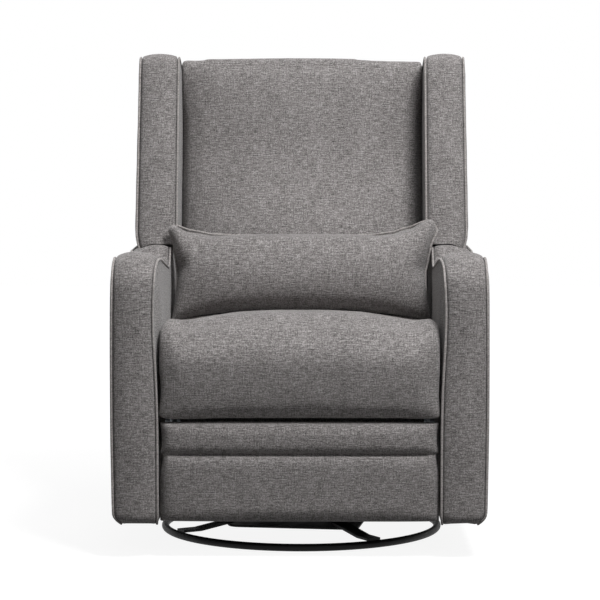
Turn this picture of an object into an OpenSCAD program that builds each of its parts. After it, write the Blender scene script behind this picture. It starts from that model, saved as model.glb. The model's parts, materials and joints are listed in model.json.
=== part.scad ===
// Swivel glider recliner: winged back, loose lumbar pillow, channelled footrest, ring base.
// Lengths are millimetres. The sitter faces -Y, Z is up, the origin is on the floor under
// the swivel axis. Left and right are as seen from in front: left is -X.

/* [Arms] */
// Clear width between the two arms
seat_space_w = 574; // [520:1:640]
// Width of one arm between its flat sides
arm_w = 91; // [70:1:120]
// Distance of the arm's front seams ahead of the swivel axis
arm_front = 406; // [380:1:440]
// Distance of the arm's rear end behind the swivel axis
arm_rear = 262; // [250:1:275]
// Height of the upholstery's underside above the floor
body_bottom = 83; // [75:1:95]
// Height of the seams at the arm's front crown
arm_top = 612; // [590:1:640]
// Radius of the arm's front crown seen from the side
arm_nose_r = 65; // [40:1:90]
// Fall of the arm top towards the rear in degrees
arm_slope = 7; // [5:0.5:9]
// Height of the lowest point of the arm's seams
arm_dip_z = 578; // [560:1:590]
// How far the boxing strip crowns between its two seams
strip_crown = 14; // [6:1:20]
// Radius of the piping in the seams
welt_r = 3.4; // [2:0.1:5]

/* [Seat] */
// Height of the seat frame's top above the floor
seat_deck_z = 363; // [355:1:370]
// Thickness of the seat cushion at its sides
seat_cushion_h = 104; // [80:1:130]
// Length of the seat cushion from front to back
seat_cushion_len = 485; // [460:1:500]
// Crown of the seat cushion above its sides
seat_crown = 22; // [8:1:35]
// Depth that the front border hangs below the deck
seat_apron_h = 75; // [60:1:77]

/* [Back] */
// Lean of the back at rest in degrees
back_lean = 13; // [10:0.5:15]
// Height of the recline pivot
recline_pivot_z = 360; // [355:1:365]
// Distance of the recline pivot behind the swivel axis
recline_pivot_y = 215; // [205:1:225]
// Height of the chair over its wing tops
overall_h = 1045; // [980:1:1100]
// Width of one wing between its seams
wing_w = 88; // [70:1:100]
// Depth of the wings from front seam to rear
wing_depth = 285; // [250:1:300]
// Gap between the arms and the wings above them
wing_gap = 3; // [2:0.5:8]
// Thickness of the back cushion at its edges
back_cushion_t = 112; // [90:1:130]
// Crown of the back cushion
back_crown = 40; // [10:1:50]
// Further swell of the back cushion behind the sitter's waist
lumbar_crown = 34; // [0:1:40]

/* [Pillow] */
// Width of the lumbar pillow
pillow_w = 563; // [480:1:566]
// Height of the lumbar pillow
pillow_h = 205; // [160:1:240]
// Thickness of the lumbar pillow at its middle
pillow_t = 140; // [80:1:145]

/* [Footrest] */
// Width of the footrest pad
footrest_w = 554; // [500:1:562]
// Height of the footrest pad when closed
footrest_h = 200; // [180:1:202]
// Thickness of the footrest pad
footrest_pad_t = 38; // [25:1:45]
// Distance from the pad's top edge down to its sewn channel
channel_drop = 62; // [40:1:90]
// Thickness of the footrest's board
board_t = 15; // [12:1:18]
// Length of the footrest's long links between pivots
footrest_link_len = 210; // [200:1:215]
// Angle of the footrest links below straight ahead when closed, in degrees
footrest_fold = 112; // [108:1:116]

/* [Glider] */
// Length of the swing links between pivots
swing_len = 90; // [80:1:95]
// Distance between the front and rear swing links
swing_base_len = 180; // [160:1:200]
// Height of the swing links' upper pivots
swing_top_z = 170; // [165:1:175]
// Distance of each glider stand from the middle
stand_x = 140; // [120:1:160]
// Thickness of the glider's steel plates
glide_t = 4; // [3:0.5:5]
// Length of the seat cranks between pivots
crank_len = 70; // [60:1:75]
// Backward lean of the seat cranks at rest in degrees
crank_lean = 30; // [25:1:35]
// Thickness of the recline mechanism's plates and links
plate_t = 3; // [2:0.5:3]

/* [Base] */
// Diameter of the base ring along its tube's middle
ring_d = 599; // [540:1:640]
// Diameter of the base ring's tube
ring_tube_d = 16; // [14:1:20]
// Width of the bars of the base cross
spoke_w = 32; // [24:1:40]
// Thickness of the bars of the base cross
spoke_t = 5; // [4:0.5:6]
// Turn of the base cross away from the diagonals in degrees
cross_turn = 14; // [0:1:20]
// Height of the cross where it carries the hub
hub_z = 40; // [38:1:42]
// Diameter of the hub plate
hub_d = 180; // [150:1:200]
// Diameter of the swivel spindle
spindle_d = 24; // [20:1:30]

/* [Hidden] */

$fn = 48;
// Radial clearance of a pin in its bore, gap of soft pieces, gap between sliding plates
pin_clear = 0.05;
soft_gap = 0.3;
plate_gap = 1;
overrun = 1;
fabric = "#6f6b69";
fabric_dark = "#575352";
black_steel = "#1d1d1f";
zinc = "#a9abad";
timber = "#b98f5e";
strap = "#2d2d30";

// Layers of the recline mechanism, counted inwards from the arm's inner side
arm_in = seat_space_w / 2;
mech_x = arm_in - plate_t;
layer_step = plate_t + plate_gap;
crank_x = mech_x - layer_step;
seat_plate_x = crank_x - layer_step;
link_x = seat_plate_x - layer_step;
inner_link_x = link_x - layer_step;
pin_r = 4;
head_r = 7;
head_t = 1.5;
link_w = 16;
fastener_r = 3;
fastener_head_r = 6;
fastener_head_t = 3;

// Recline kinematics: the cranks carry the seat, the seat carries the back
crank_z = 215;
crank_front_y = -150;
crank_rear_y = 190;
crank_shift_y = crank_len * sin(crank_lean);
crank_rise = crank_len * cos(crank_lean);
lean_up = [sin(back_lean), cos(back_lean)];
lean_back = [cos(back_lean), -sin(back_lean)];
pivot = [recline_pivot_y, recline_pivot_z];

// Footrest kinematics in the Y-Z plane
footrest_pivot = [-220, 315];
fold_dir = [cos(footrest_fold) * -1, -sin(footrest_fold)];
mid_pivot = footrest_pivot + footrest_link_len * fold_dir;
toe_reach = 40;
toe_pivot = mid_pivot + toe_reach * fold_dir;
board_back_y = -356;
bracket_pivot = [-345, 275];
bracket_toe = bracket_pivot + toe_reach * fold_dir;
upper_run = bracket_pivot - mid_pivot;
rear_reach = 45;
rear_offset = -rear_reach * upper_run / norm(upper_run);
footrest_rear_pivot = footrest_pivot + rear_offset;
rear_mid_pivot = mid_pivot + rear_offset;
cross_tube_r = 10;
cross_tube_share = 0.57;
cross_tube_at = footrest_pivot + footrest_link_len * cross_tube_share * fold_dir;

// Glider levels
washer_t = 3;
hub_t = 4;
hub_top = hub_z + hub_t;
swivel_z = hub_top + washer_t + soft_gap;
swivel_top = swivel_z + hub_t;
stand_top_z = 185;
rail_x = stand_x + 2 * (glide_t + plate_gap);
swing_x = stand_x + glide_t + plate_gap;
crossbar_z = 190;
crossbar_s = 25;
crossbar_ys = [-50, 110];

// Back levels, along and across the leaning back from the recline pivot
back_rear_t = 45;
wing_front_t = back_rear_t - wing_depth;
post_w = 30;
post_t = 25;
post_front_t = -20;
post_start = 26;
wing_nose_r = 26;
wing_top_crown_share = 0.4;
wing_crown_h = (overall_h - pivot[1] - wing_nose_r - strip_crown * wing_top_crown_share
    + (wing_front_t + wing_nose_r) * sin(back_lean)) / cos(back_lean) + wing_nose_r;
back_cushion_start = 52;
back_cushion_end = wing_crown_h - welt_r;
roll_h = 40;
post_end = back_cushion_end - roll_h - soft_gap;
webbing_w = 50;
webbing_t = 1.5;
webbing_n = 5;
outside_t = 14;
rail_h = 25;

function normal_of(heading) = [-sin(heading), cos(heading)];
function sq(v) = v * v;
function bend(centre, r, from, to, steps, crown) =
    [for (i = [1 : steps]) let (h = from + (to - from) * i / steps)
        [centre + r * normal_of(h), normal_of(h), crown]];

// A boxing strip with piping in both seams, as [across, outwards] points
welt_sink_share = 0.6;
crown_shares = [0.1, 0.3, 0.5, 0.7, 0.9];
welt_foot_shares = [1.15, -0.35];
function welt_points(w) = concat(
    [for (a = [270 : -45 : 45]) [welt_r * cos(a), welt_r * (sin(a) - welt_sink_share), 0]],
    [[welt_r * welt_foot_shares[0], welt_r * welt_foot_shares[1], 0]]);
function flipped(points, w) = [for (i = [len(points) - 1 : -1 : 0])
    [w - points[i][0], points[i][1], points[i][2]]];
function strip_points(w) = concat(welt_points(w),
    [for (s = crown_shares) [w * s, 0, pow(sin(180 * s), 0.6)]],
    flipped(welt_points(w), w));

// A solid whose front and top edge is a strip that follows the stations, closed by two corners
module strip_solid(x0, w, stations, corner) {
    section = strip_points(w);
    m = len(section);
    n = len(stations);
    points = concat(
        [for (st = stations) for (q = section)
            let (p = st[0] + st[1] * (q[1] + q[2] * strip_crown * st[2]),
                fall = is_undef(st[3]) ? 0 : st[3] * sq(q[0] / w))
                [x0 + q[0], p[0], p[1] - fall]],
        [[x0, corner[0], corner[1]], [x0 + w, corner[0], corner[1]]]);
    skin = [for (i = [0 : n - 2]) for (j = [0 : m - 2])
        [i * m + j, i * m + j + 1, (i + 1) * m + j + 1, (i + 1) * m + j]];
    inner = concat([for (i = [0 : n - 1]) i * m], [n * m]);
    outer = concat([n * m + 1], [for (i = [n - 1 : -1 : 0]) i * m + m - 1]);
    foot = concat([for (j = [m - 1 : -1 : 0]) j], [n * m, n * m + 1]);
    tail = concat([for (j = [0 : m - 1]) (n - 1) * m + j], [n * m + 1, n * m]);
    polyhedron(points, concat(skin, [inner, outer, foot, tail]), convexity = 6);
}

// A closed body through loops of equal length, each flat at its own X
module loft(loops) {
    n = len(loops);
    m = len(loops[0]);
    points = [for (loop = loops) for (p = loop) p];
    skin = [for (i = [0 : n - 2]) for (j = [0 : m - 1])
        let (k = (j + 1) % m) [i * m + j, i * m + k, (i + 1) * m + k, (i + 1) * m + j]];
    first = [for (j = [m - 1 : -1 : 0]) j];
    last = [for (j = [0 : m - 1]) (n - 1) * m + j];
    polyhedron(points, concat(skin, [first, last]), convexity = 6);
}

// A closed body between two surfaces, each a function of two shares from -1 to 1
module grid_solid(across, along, front, rear) {
    n = len(across);
    m = len(along);
    points = concat([for (a = across) for (b = along) front(a, b)],
        [for (a = across) for (b = along) rear(a, b)]);
    q = n * m;
    skin = [for (i = [0 : n - 2]) for (j = [0 : m - 2])
        [i * m + j, (i + 1) * m + j, (i + 1) * m + j + 1, i * m + j + 1]];
    rim = concat([for (j = [0 : m - 2]) j], [for (i = [0 : n - 2]) i * m + m - 1],
        [for (j = [m - 1 : -1 : 1]) (n - 1) * m + j], [for (i = [n - 1 : -1 : 1]) i * m]);
    wall = [for (k = [0 : len(rim) - 1]) let (e = rim[(k + 1) % len(rim)])
        [rim[k], e, e + q, rim[k] + q]];
    back = [for (f = skin) [f[3] + q, f[2] + q, f[1] + q, f[0] + q]];
    polyhedron(points, concat(skin, wall, back), convexity = 6);
}

function spaced(n) = [for (i = [0 : n]) -cos(180 * i / n)];

module both_sides() {
    children();
    mirror([1, 0, 0])
        children();
}

// Extrudes a Y-Z outline along X
module slab(x, t) {
    translate([x, 0, 0])
        rotate([90, 0, 90])
            linear_extrude(t)
                children();
}

module pin(at, x, t, r) {
    translate([x, at[0], at[1]])
        rotate([0, 90, 0])
            cylinder(r = r, h = t);
}

module disc(at, r) {
    translate(at)
        circle(r = r);
}

// Outline of a flat link, a bar between two slightly wider round eyes
bar_share = 0.88;
module link_shape(a, b, w) {
    d = b - a;
    bar_w = w * bar_share;
    disc(a, w / 2);
    disc(b, w / 2);
    translate(a)
        rotate(atan2(d[1], d[0]))
            translate([0, -bar_w / 2])
                square([norm(d), bar_w]);
}

module bored_link(x, t, w, ends, holes, studs, stud_in) {
    difference() {
        slab(x, t)
            link_shape(ends[0], ends[1], w);
        for (h = holes)
            pin(h, x - overrun, t + 2 * overrun, pin_r + pin_clear);
    }
    for (s = studs) {
        pin(s, x - stud_in, stud_in, pin_r);
        pin(s, x - stud_in - head_t, head_t, head_r);
    }
}

// Places a piece given along and across the leaning back
module on_back() {
    translate([0, pivot[0], pivot[1]])
        rotate([-back_lean, 0, 0])
            children();
}

// Depth of the flat on the underside of the ring's tube
ring_flat = 0.5;
ring_top = ring_tube_d - ring_flat;
module base_ring() color(black_steel)
    difference() {
        translate([0, 0, ring_tube_d / 2 - ring_flat])
            rotate_extrude($fn = 96)
                translate([ring_d / 2, 0])
                    circle(d = ring_tube_d);
        translate([0, 0, -ring_tube_d])
            cylinder(d = ring_d + 2 * ring_tube_d, h = ring_tube_d);
    }

// Place of the hub's bolts as a share of the hub's diameter
bolt_share = 0.36;
module base_spokes() color(black_steel) {
    rise_from_share = 0.86;
    rise_to_share = 0.42;
    half = ring_d / 2;
    outline = [[half, 0], [half * rise_from_share, 0],
        [half * rise_to_share, hub_z - ring_top - spoke_t], [0, hub_z - ring_top - spoke_t],
        [0, hub_z - ring_top], [half * rise_to_share, hub_z - ring_top],
        [half * rise_from_share, spoke_t], [half, spoke_t]];
    difference() {
        for (k = [0 : 3])
            rotate(-cross_turn - 45 + 90 * k)
                translate([0, spoke_w / 2, ring_top])
                    rotate([90, 0, 0])
                        linear_extrude(spoke_w)
                            polygon(outline);
        for (k = [0 : 3])
            rotate(-cross_turn - 45 + 90 * k)
                translate([hub_d * bolt_share, 0, 0])
                    cylinder(r = fastener_r + pin_clear, h = hub_z + overrun);
    }
}

// Hub plate with the spindle that carries the chair
bushing_h = 18;
nut_h = 8;
spindle_h = washer_t + soft_gap + bushing_h + soft_gap + nut_h;
module base_hub() color(black_steel) {
    difference() {
        translate([0, 0, hub_z])
            cylinder(d = hub_d, h = hub_t);
        for (k = [0 : 3])
            rotate(-cross_turn - 45 + 90 * k)
                translate([hub_d * bolt_share, 0, hub_z - overrun])
                    cylinder(r = fastener_r + pin_clear, h = hub_t + 2 * overrun);
    }
    translate([0, 0, hub_top])
        cylinder(d = spindle_d, h = spindle_h);
}

module hub_bolts() color(zinc) {
    for (k = [0 : 3])
        rotate(-cross_turn - 45 + 90 * k)
            translate([hub_d * bolt_share, 0, 0]) {
                translate([0, 0, hub_z - spoke_t])
                    cylinder(r = fastener_r, h = spoke_t + hub_t);
                translate([0, 0, hub_z - spoke_t - fastener_head_t])
                    cylinder(r = fastener_head_r, h = fastener_head_t, $fn = 6);
            }
}

washer_d_share = 0.62;
module swivel_washer() color("whitesmoke") {
    translate([0, 0, hub_top])
        difference() {
            cylinder(d = hub_d * washer_d_share, h = washer_t);
            translate([0, 0, -overrun])
                cylinder(d = spindle_d + 2 * pin_clear, h = washer_t + 2 * overrun);
        }
}

nut_share = 1.6;
module spindle_nut() color(zinc) {
    translate([0, 0, swivel_z + bushing_h + soft_gap])
        difference() {
            cylinder(d = spindle_d * nut_share, h = nut_h, $fn = 6);
            translate([0, 0, -overrun])
                cylinder(d = spindle_d + 2 * pin_clear, h = nut_h + 2 * overrun);
        }
}

stand_flange_w = 44;
stand_foot_over = 25;
stand_head_over = 15;
stand_foot = swing_base_len + 2 * stand_foot_over;
stand_head = swing_base_len + 2 * stand_head_over;

module swivel_plate() color(black_steel) {
    bushing_d = spindle_d * nut_share;
    difference() {
        union() {
            translate([-stand_x - glide_t, -stand_foot / 2, swivel_z])
                cube([2 * (stand_x + glide_t), stand_foot, hub_t]);
            translate([0, 0, swivel_z])
                cylinder(d = bushing_d, h = bushing_h);
        }
        translate([0, 0, swivel_z - overrun])
            cylinder(r = spindle_d / 2 + pin_clear, h = bushing_h + 2 * overrun);
    }
}

window_share = 0.45;
module glide_stand() color(black_steel) {
    window_w = stand_foot * window_share;
    window_z = swivel_top + stand_flange_w / 2;
    difference() {
        slab(stand_x, glide_t)
            polygon([[-stand_foot / 2, swivel_top], [stand_foot / 2, swivel_top],
                [stand_foot / 2, swivel_top + stand_flange_w / 2],
                [stand_head / 2, stand_top_z], [-stand_head / 2, stand_top_z],
                [-stand_foot / 2, swivel_top + stand_flange_w / 2]]);
        slab(stand_x - overrun, glide_t + 2 * overrun)
            translate([-window_w / 2, window_z])
                square([window_w, swing_len / 2]);
    }
    translate([stand_x + glide_t - stand_flange_w, -stand_foot / 2, swivel_top])
        cube([stand_flange_w, stand_foot, glide_t]);
    for (y = [-swing_base_len / 2, swing_base_len / 2])
        pin([y, swing_top_z], stand_x + glide_t, glide_t + plate_gap * 1.5, pin_r);
}
module glide_stand_left() mirror([1, 0, 0]) glide_stand();
module glide_stand_right() glide_stand();

module swing_links(y) color(zinc) {
    swing_w = 20;
    top = [y, swing_top_z];
    foot = [y, swing_top_z - swing_len];
    both_sides()
        difference() {
            slab(swing_x, glide_t)
                link_shape(foot, top, swing_w);
            for (p = [top, foot])
                pin(p, swing_x - overrun, glide_t + 2 * overrun, pin_r + pin_clear);
        }
}
module swing_links_front() swing_links(-swing_base_len / 2);
module swing_links_rear() swing_links(swing_base_len / 2);

rail_over = 50;
module glide_rail() color(black_steel) {
    foot_z = swing_top_z - swing_len;
    rail_r = 12;
    rail_end = swing_base_len / 2 + rail_over;
    slab(rail_x, glide_t)
        polygon([[-rail_end + 2 * rail_r, foot_z - rail_r], [rail_end - 2 * rail_r, foot_z - rail_r],
            [rail_end, foot_z + rail_r], [rail_end, crossbar_z - 2 * rail_r],
            [crossbar_ys[1] + crossbar_s, crossbar_z], [crossbar_ys[1] - crossbar_s, crossbar_z],
            [crossbar_ys[1] - 2 * crossbar_s, foot_z + 2 * rail_r],
            [crossbar_ys[0] + 2 * crossbar_s, foot_z + 2 * rail_r],
            [crossbar_ys[0] + crossbar_s, crossbar_z], [crossbar_ys[0] - crossbar_s, crossbar_z],
            [-rail_end, foot_z + 2 * rail_r], [-rail_end, foot_z + rail_r]]);
    for (y = [-swing_base_len / 2, swing_base_len / 2])
        pin([y, foot_z], rail_x - glide_t - plate_gap * 1.5, glide_t + plate_gap * 1.5, pin_r);
}
module glide_rail_left() mirror([1, 0, 0]) glide_rail();
module glide_rail_right() glide_rail();

tube_wall = 2;
module carriage_crossbars() color(black_steel)
    for (y = crossbar_ys)
        difference() {
            translate([-mech_x, y - crossbar_s / 2, crossbar_z])
                cube([2 * mech_x, crossbar_s, crossbar_s]);
            translate([-mech_x - overrun, y - crossbar_s / 2 + tube_wall, crossbar_z + tube_wall])
                cube([2 * (mech_x + overrun), crossbar_s - 2 * tube_wall, crossbar_s - 2 * tube_wall]);
        }

mech_w = 44;
arm_bolt_ys = [-90, 20, 145];
module mechanism_plate() color(zinc) {
    difference() {
        slab(mech_x, plate_t)
            link_shape([crank_front_y, crank_z], [crank_rear_y, crank_z], mech_w);
        for (y = arm_bolt_ys)
            pin([y, crank_z], mech_x - overrun, plate_t + 2 * overrun, fastener_r + pin_clear);
    }
    for (y = [crank_front_y, crank_rear_y])
        pin([y, crank_z], mech_x - plate_t - plate_gap * 1.5, plate_t + plate_gap * 1.5, pin_r);
}
module mechanism_plate_left() mirror([1, 0, 0]) mechanism_plate();
module mechanism_plate_right() mechanism_plate();

module arm_bolts() color(zinc) {
    both_sides()
        for (y = arm_bolt_ys) {
            pin([y, crank_z], mech_x, plate_t, fastener_r);
            pin([y, crank_z], mech_x - fastener_head_t, fastener_head_t, fastener_head_r);
        }
}

// The arm's side outline, from the foot of its front seam over the crown to the rear
arm_dip_r = 50;
arm_lip_r = 20;
arm_lip_turn = 65;
nose_centre = [-arm_front + arm_nose_r, arm_top - arm_nose_r];
nose_end = nose_centre + arm_nose_r * normal_of(-arm_slope);
dip_start_z = arm_dip_z + arm_dip_r * (1 - cos(arm_slope));
dip_start = [nose_end[0] + (nose_end[1] - dip_start_z) / tan(arm_slope), dip_start_z];
dip_centre = dip_start + arm_dip_r * normal_of(-arm_slope);
dip_end = dip_centre - arm_dip_r * normal_of(arm_lip_turn);
lip_centre = dip_end - arm_lip_r * normal_of(arm_lip_turn);
arm_rest_z = lip_centre[1] + arm_lip_r;
lip_crown_share = 0.6;
rest_crown_share = 0.35;
// The lip stands a little over the level that runs back under the wing, and its outer seam
// falls away
arm_lip_fall = 20;
arm_level_drop = 3;
arm_level_z = arm_rest_z - arm_level_drop;
arm_tail_drop = 6;
lip_outer_fall = 10;
rest_outer_fall = 3;
lip_end = lip_centre + arm_lip_r * normal_of(-arm_lip_fall);
arm_level_y = lip_end[0] + (lip_end[1] - arm_level_z) / tan(arm_lip_fall);
arm_stations = concat(
    [[[-arm_front, body_bottom], [-1, 0], 1], [[-arm_front, arm_top - arm_nose_r], [-1, 0], 1]],
    bend(nose_centre, arm_nose_r, 90, -arm_slope, 8, 1),
    [[dip_start, normal_of(-arm_slope), 0.8]],
    [for (i = [1 : 6]) let (h = -arm_slope + (arm_lip_turn + arm_slope) * i / 6)
        [dip_centre - arm_dip_r * normal_of(h), normal_of(h), 0.7, lip_outer_fall * i / 6]],
    [for (q = bend(lip_centre, arm_lip_r, arm_lip_turn, -arm_lip_fall, 5, lip_crown_share))
        concat(q, [lip_outer_fall])],
    [[[arm_level_y, arm_level_z], [0, 1], rest_crown_share, rest_outer_fall],
        [[arm_rear - arm_lip_r * 2, arm_level_z], [0, 1], rest_crown_share, rest_outer_fall],
        [[arm_rear, arm_level_z - arm_tail_drop], [0, 1], rest_crown_share, 0]]);

module arm() color(fabric)
    strip_solid(arm_in, arm_w, arm_stations, [arm_rear, body_bottom]);
module arm_left() mirror([1, 0, 0]) arm();
module arm_right() arm();

rear_panel_t = 15;
rear_panel_top = 318;
module rear_panel() color(fabric_dark) {
    translate([-arm_in, arm_rear - rear_panel_t, body_bottom])
        cube([2 * arm_in, rear_panel_t, rear_panel_top - body_bottom]);
}

module seat_cranks(y) color(zinc) {
    crank_w = 20;
    foot = [y, crank_z];
    top = [y + crank_shift_y, crank_z + crank_rise];
    both_sides()
        difference() {
            slab(crank_x, plate_t)
                link_shape(foot, top, crank_w);
            for (p = [foot, top])
                pin(p, crank_x - overrun, plate_t + 2 * overrun, pin_r + pin_clear);
        }
}
module seat_cranks_front() seat_cranks(crank_front_y);
module seat_cranks_rear() seat_cranks(crank_rear_y);

flange_top = seat_deck_z - rail_h;
flange_w = 43;
seat_plate_w = 26;
module seat_plate() color(zinc) {
    crank_front_top = [crank_front_y + crank_shift_y, crank_z + crank_rise];
    crank_rear_top = [crank_rear_y + crank_shift_y, crank_z + crank_rise];
    web_z = flange_top - seat_plate_w;
    front_y = footrest_pivot[0] - seat_plate_w;
    slab(seat_plate_x, plate_t) {
        polygon([[front_y, flange_top], [front_y, footrest_pivot[1] - seat_plate_w / 2],
            [footrest_pivot[0], footrest_pivot[1] - seat_plate_w / 2],
            [footrest_rear_pivot[0], footrest_rear_pivot[1] - seat_plate_w / 2],
            [footrest_rear_pivot[0] + seat_plate_w, web_z], [pivot[0], web_z],
            [pivot[0], flange_top]]);
        link_shape(crank_front_top, [crank_front_top[0], web_z + seat_plate_w / 2], seat_plate_w);
        link_shape(crank_rear_top, [pivot[0], pivot[1]], seat_plate_w);
    }
    translate([seat_plate_x + plate_t - flange_w, front_y, flange_top - plate_t])
        cube([flange_w, crank_rear_y - post_w - front_y, plate_t]);
    for (p = [crank_front_top, crank_rear_top])
        pin(p, seat_plate_x + plate_t, plate_t + plate_gap * 1.5, pin_r);
    for (p = [footrest_pivot, footrest_rear_pivot, pivot]) {
        pin(p, link_x - plate_gap / 2, layer_step + plate_gap / 2, pin_r);
        pin(p, link_x - plate_gap / 2 - head_t, head_t, head_r);
    }
}
module seat_plate_left() mirror([1, 0, 0]) seat_plate();
module seat_plate_right() seat_plate();

// Timber seat frame: side rails on the plates' flanges, cross rails between them
side_rail_out = seat_plate_x - head_r + plate_t;
side_rail_in = side_rail_out - post_w;
seat_front_y = -384;
seat_rear_y = 150;
module seat_side_rails() color(timber) {
    both_sides()
        translate([side_rail_in, seat_front_y, flange_top])
            cube([post_w, seat_rear_y - seat_front_y, rail_h]);
}

apron_rail_up = 6;
module seat_cross_rails() color(timber) {
    apron_rail_h = seat_apron_h - apron_rail_up;
    translate([-side_rail_in, seat_front_y, seat_deck_z - apron_rail_h])
        cube([2 * side_rail_in, rail_h, apron_rail_h]);
    translate([-side_rail_in, seat_rear_y - rail_h, flange_top])
        cube([2 * side_rail_in, rail_h, rail_h]);
}

// Sinuous springs: a wave of wire from the front rail to the rear rail
wire_r = 1.9;
spring_count = 4;
wave_half_w = 26;
wave_n = 9;
wave_steps = 8;
wire_sides = 5;
module seat_springs() color(zinc) {
    start_y = seat_front_y + rail_h / 2;
    run = seat_rear_y - rail_h / 2 - start_y;
    steps = wave_n * wave_steps;
    wire_z = seat_deck_z + wire_r;
    pitch_x = 2 * side_rail_in / spring_count;
    for (k = [0 : spring_count - 1]) {
        x0 = -side_rail_in + pitch_x * (k + 0.5);
        loft([for (i = [0 : steps])
            let (s = i / steps, a = 180 * wave_n * s,
                slope = atan(wave_half_w * PI * wave_n / run * cos(a)))
            [for (j = [0 : wire_sides - 1]) let (b = 360 * j / wire_sides)
                [x0 + wave_half_w * sin(a) + wire_r * cos(b) * cos(slope),
                    start_y + run * s - wire_r * cos(b) * sin(slope),
                    wire_z + wire_r * sin(b)]]]);
    }
}

// Seat cushion: a side outline as shares of its length and height, with how much of the
// crown and of the front bulge each point takes
seat_shares = [
    [0.985, 0, 0, -0.3], [1, 0.25, 0, -1],
    [0.99, 0.58, 0.4, -1], [0.94, 0.78, 0.9, -0.4], [0.78, 0.85, 1, 0], [0.6, 0.91, 1, 0],
    [0.42, 0.98, 1, 0], [0.26, 1.03, 1, 0], [0.15, 1, 0.9, 0.3], [0.07, 0.86, 0.6, 0.7],
    [0.025, 0.6, 0.3, 1], [0.012, 0.25, 0, 1], [0.018, -0.2, 0, 1], [0.03, -0.52, 0, 0.8]];
seat_side_shares = [-1, -0.985, -0.94, -0.84, -0.68, -0.46, -0.2, 0.2, 0.46, 0.68, 0.84, 0.94,
    0.985, 1];
seat_overhang_share = 0.08;
seat_apron_share = 0.055;
seat_bulge = 8;
seat_edge_r = 20;
seat_side_gap = 4.5;
cushion_z = seat_deck_z + 2 * wire_r + soft_gap;
module seat_cushion() color(fabric) {
    half_w = arm_in - seat_side_gap;
    front_y = seat_front_y - seat_cushion_len * seat_overhang_share;
    apron_z = seat_deck_z - seat_apron_h;
    loft([for (s = seat_side_shares)
        let (crown = seat_crown * (1 - sq(s)) - seat_edge_r * pow(abs(s), 24),
            bulge = seat_bulge * (1 - sq(s)) - seat_edge_r * pow(abs(s), 24))
        concat(
            [for (p = seat_shares)
                [s * half_w, front_y + p[0] * seat_cushion_len - p[3] * bulge,
                    cushion_z + p[1] * seat_cushion_h + p[2] * crown]],
            [[s * half_w, front_y + seat_apron_share * seat_cushion_len, apron_z],
                [s * half_w, seat_front_y - soft_gap, apron_z + welt_r],
                [s * half_w, seat_front_y - soft_gap, cushion_z]])]);
}

module footrest_front_links() color(zinc)
    both_sides()
        bored_link(link_x, plate_t, link_w, [footrest_pivot, toe_pivot],
            [footrest_pivot], [mid_pivot, toe_pivot], layer_step + plate_gap / 2);

module footrest_rear_links() color(zinc)
    both_sides()
        bored_link(link_x, plate_t, link_w, [footrest_rear_pivot, rear_mid_pivot],
            [footrest_rear_pivot], [rear_mid_pivot], layer_step + plate_gap / 2);

module footrest_upper_links() color(zinc)
    both_sides()
        bored_link(inner_link_x, plate_t, link_w, [rear_mid_pivot, bracket_pivot],
            [rear_mid_pivot, mid_pivot, bracket_pivot], [], 0);

module footrest_lower_links() color(zinc)
    both_sides()
        bored_link(inner_link_x, plate_t, link_w, [toe_pivot, bracket_toe],
            [toe_pivot, bracket_toe], [], 0);

module footrest_cross_tube() color(black_steel)
    translate([-link_x, cross_tube_at[0], cross_tube_at[1]])
        rotate([0, 90, 0])
            difference() {
                cylinder(r = cross_tube_r, h = 2 * link_x);
                translate([0, 0, -overrun])
                    cylinder(r = cross_tube_r - tube_wall, h = 2 * (link_x + overrun));
            }

bracket_flange_w = 34;
board_top = 275;
board_h_share = 0.9;
module footrest_brackets() color(zinc) {
    flange_y = board_back_y;
    both_sides() {
        bored_link(link_x, plate_t, link_w, [bracket_pivot, bracket_toe], [],
            [bracket_pivot, bracket_toe], layer_step + plate_gap / 2);
        slab(link_x, plate_t)
            polygon([[flange_y, board_top - link_w / 2], [flange_y, board_top - 5 * link_w],
                [bracket_toe[0], bracket_toe[1] - link_w / 2], bracket_toe,
                bracket_pivot, [bracket_pivot[0], bracket_pivot[1] + link_w / 4]]);
        translate([link_x + plate_t - bracket_flange_w, flange_y - plate_t,
            board_top - 6 * link_w])
            cube([bracket_flange_w, plate_t, 5.5 * link_w]);
    }
}

module footrest_board() color(timber) {
    board_h = footrest_h * board_h_share;
    translate([-link_x, board_back_y - plate_t - board_t, board_top - board_h])
        cube([2 * link_x, board_t, board_h]);
}

// Footrest pad: crowned front with one sewn channel across
channel_w = 9;
channel_d = 9;
footrest_top = 284;
pad_back_y = board_back_y - plate_t - board_t - soft_gap;
pad_rim_share = 0.35;
pad_rows = [0, 0.012, 0.05, 0.13, 0.24, 0.36, 0.48, 0.58, 0.64, 0.672, 0.69, 0.708, 0.74, 0.8,
    0.87, 0.94, 0.985, 1];
module footrest_pad() color(fabric) {
    half_w = footrest_w / 2;
    channel_z = footrest_top - channel_drop;
    edge = function(s) pow(1 - pow(abs(s), 14), 0.5);
    depth = function(a, z)
        let (b = 2 * (z - footrest_top + footrest_h) / footrest_h - 1,
            rim = edge(min(abs(a), 1)) * edge(min(abs(b), 1)),
            groove = channel_d * exp(-sq((z - channel_z) / channel_w)))
        footrest_pad_t * (pad_rim_share + (1 - pad_rim_share) * rim) - groove;
    grid_solid(spaced(12), pad_rows,
        function(a, b) let (z = footrest_top - footrest_h * (1 - b))
            [a * half_w, pad_back_y - depth(a, z), z],
        function(a, b) [a * half_w, pad_back_y, footrest_top - footrest_h * (1 - b)]);
}

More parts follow.
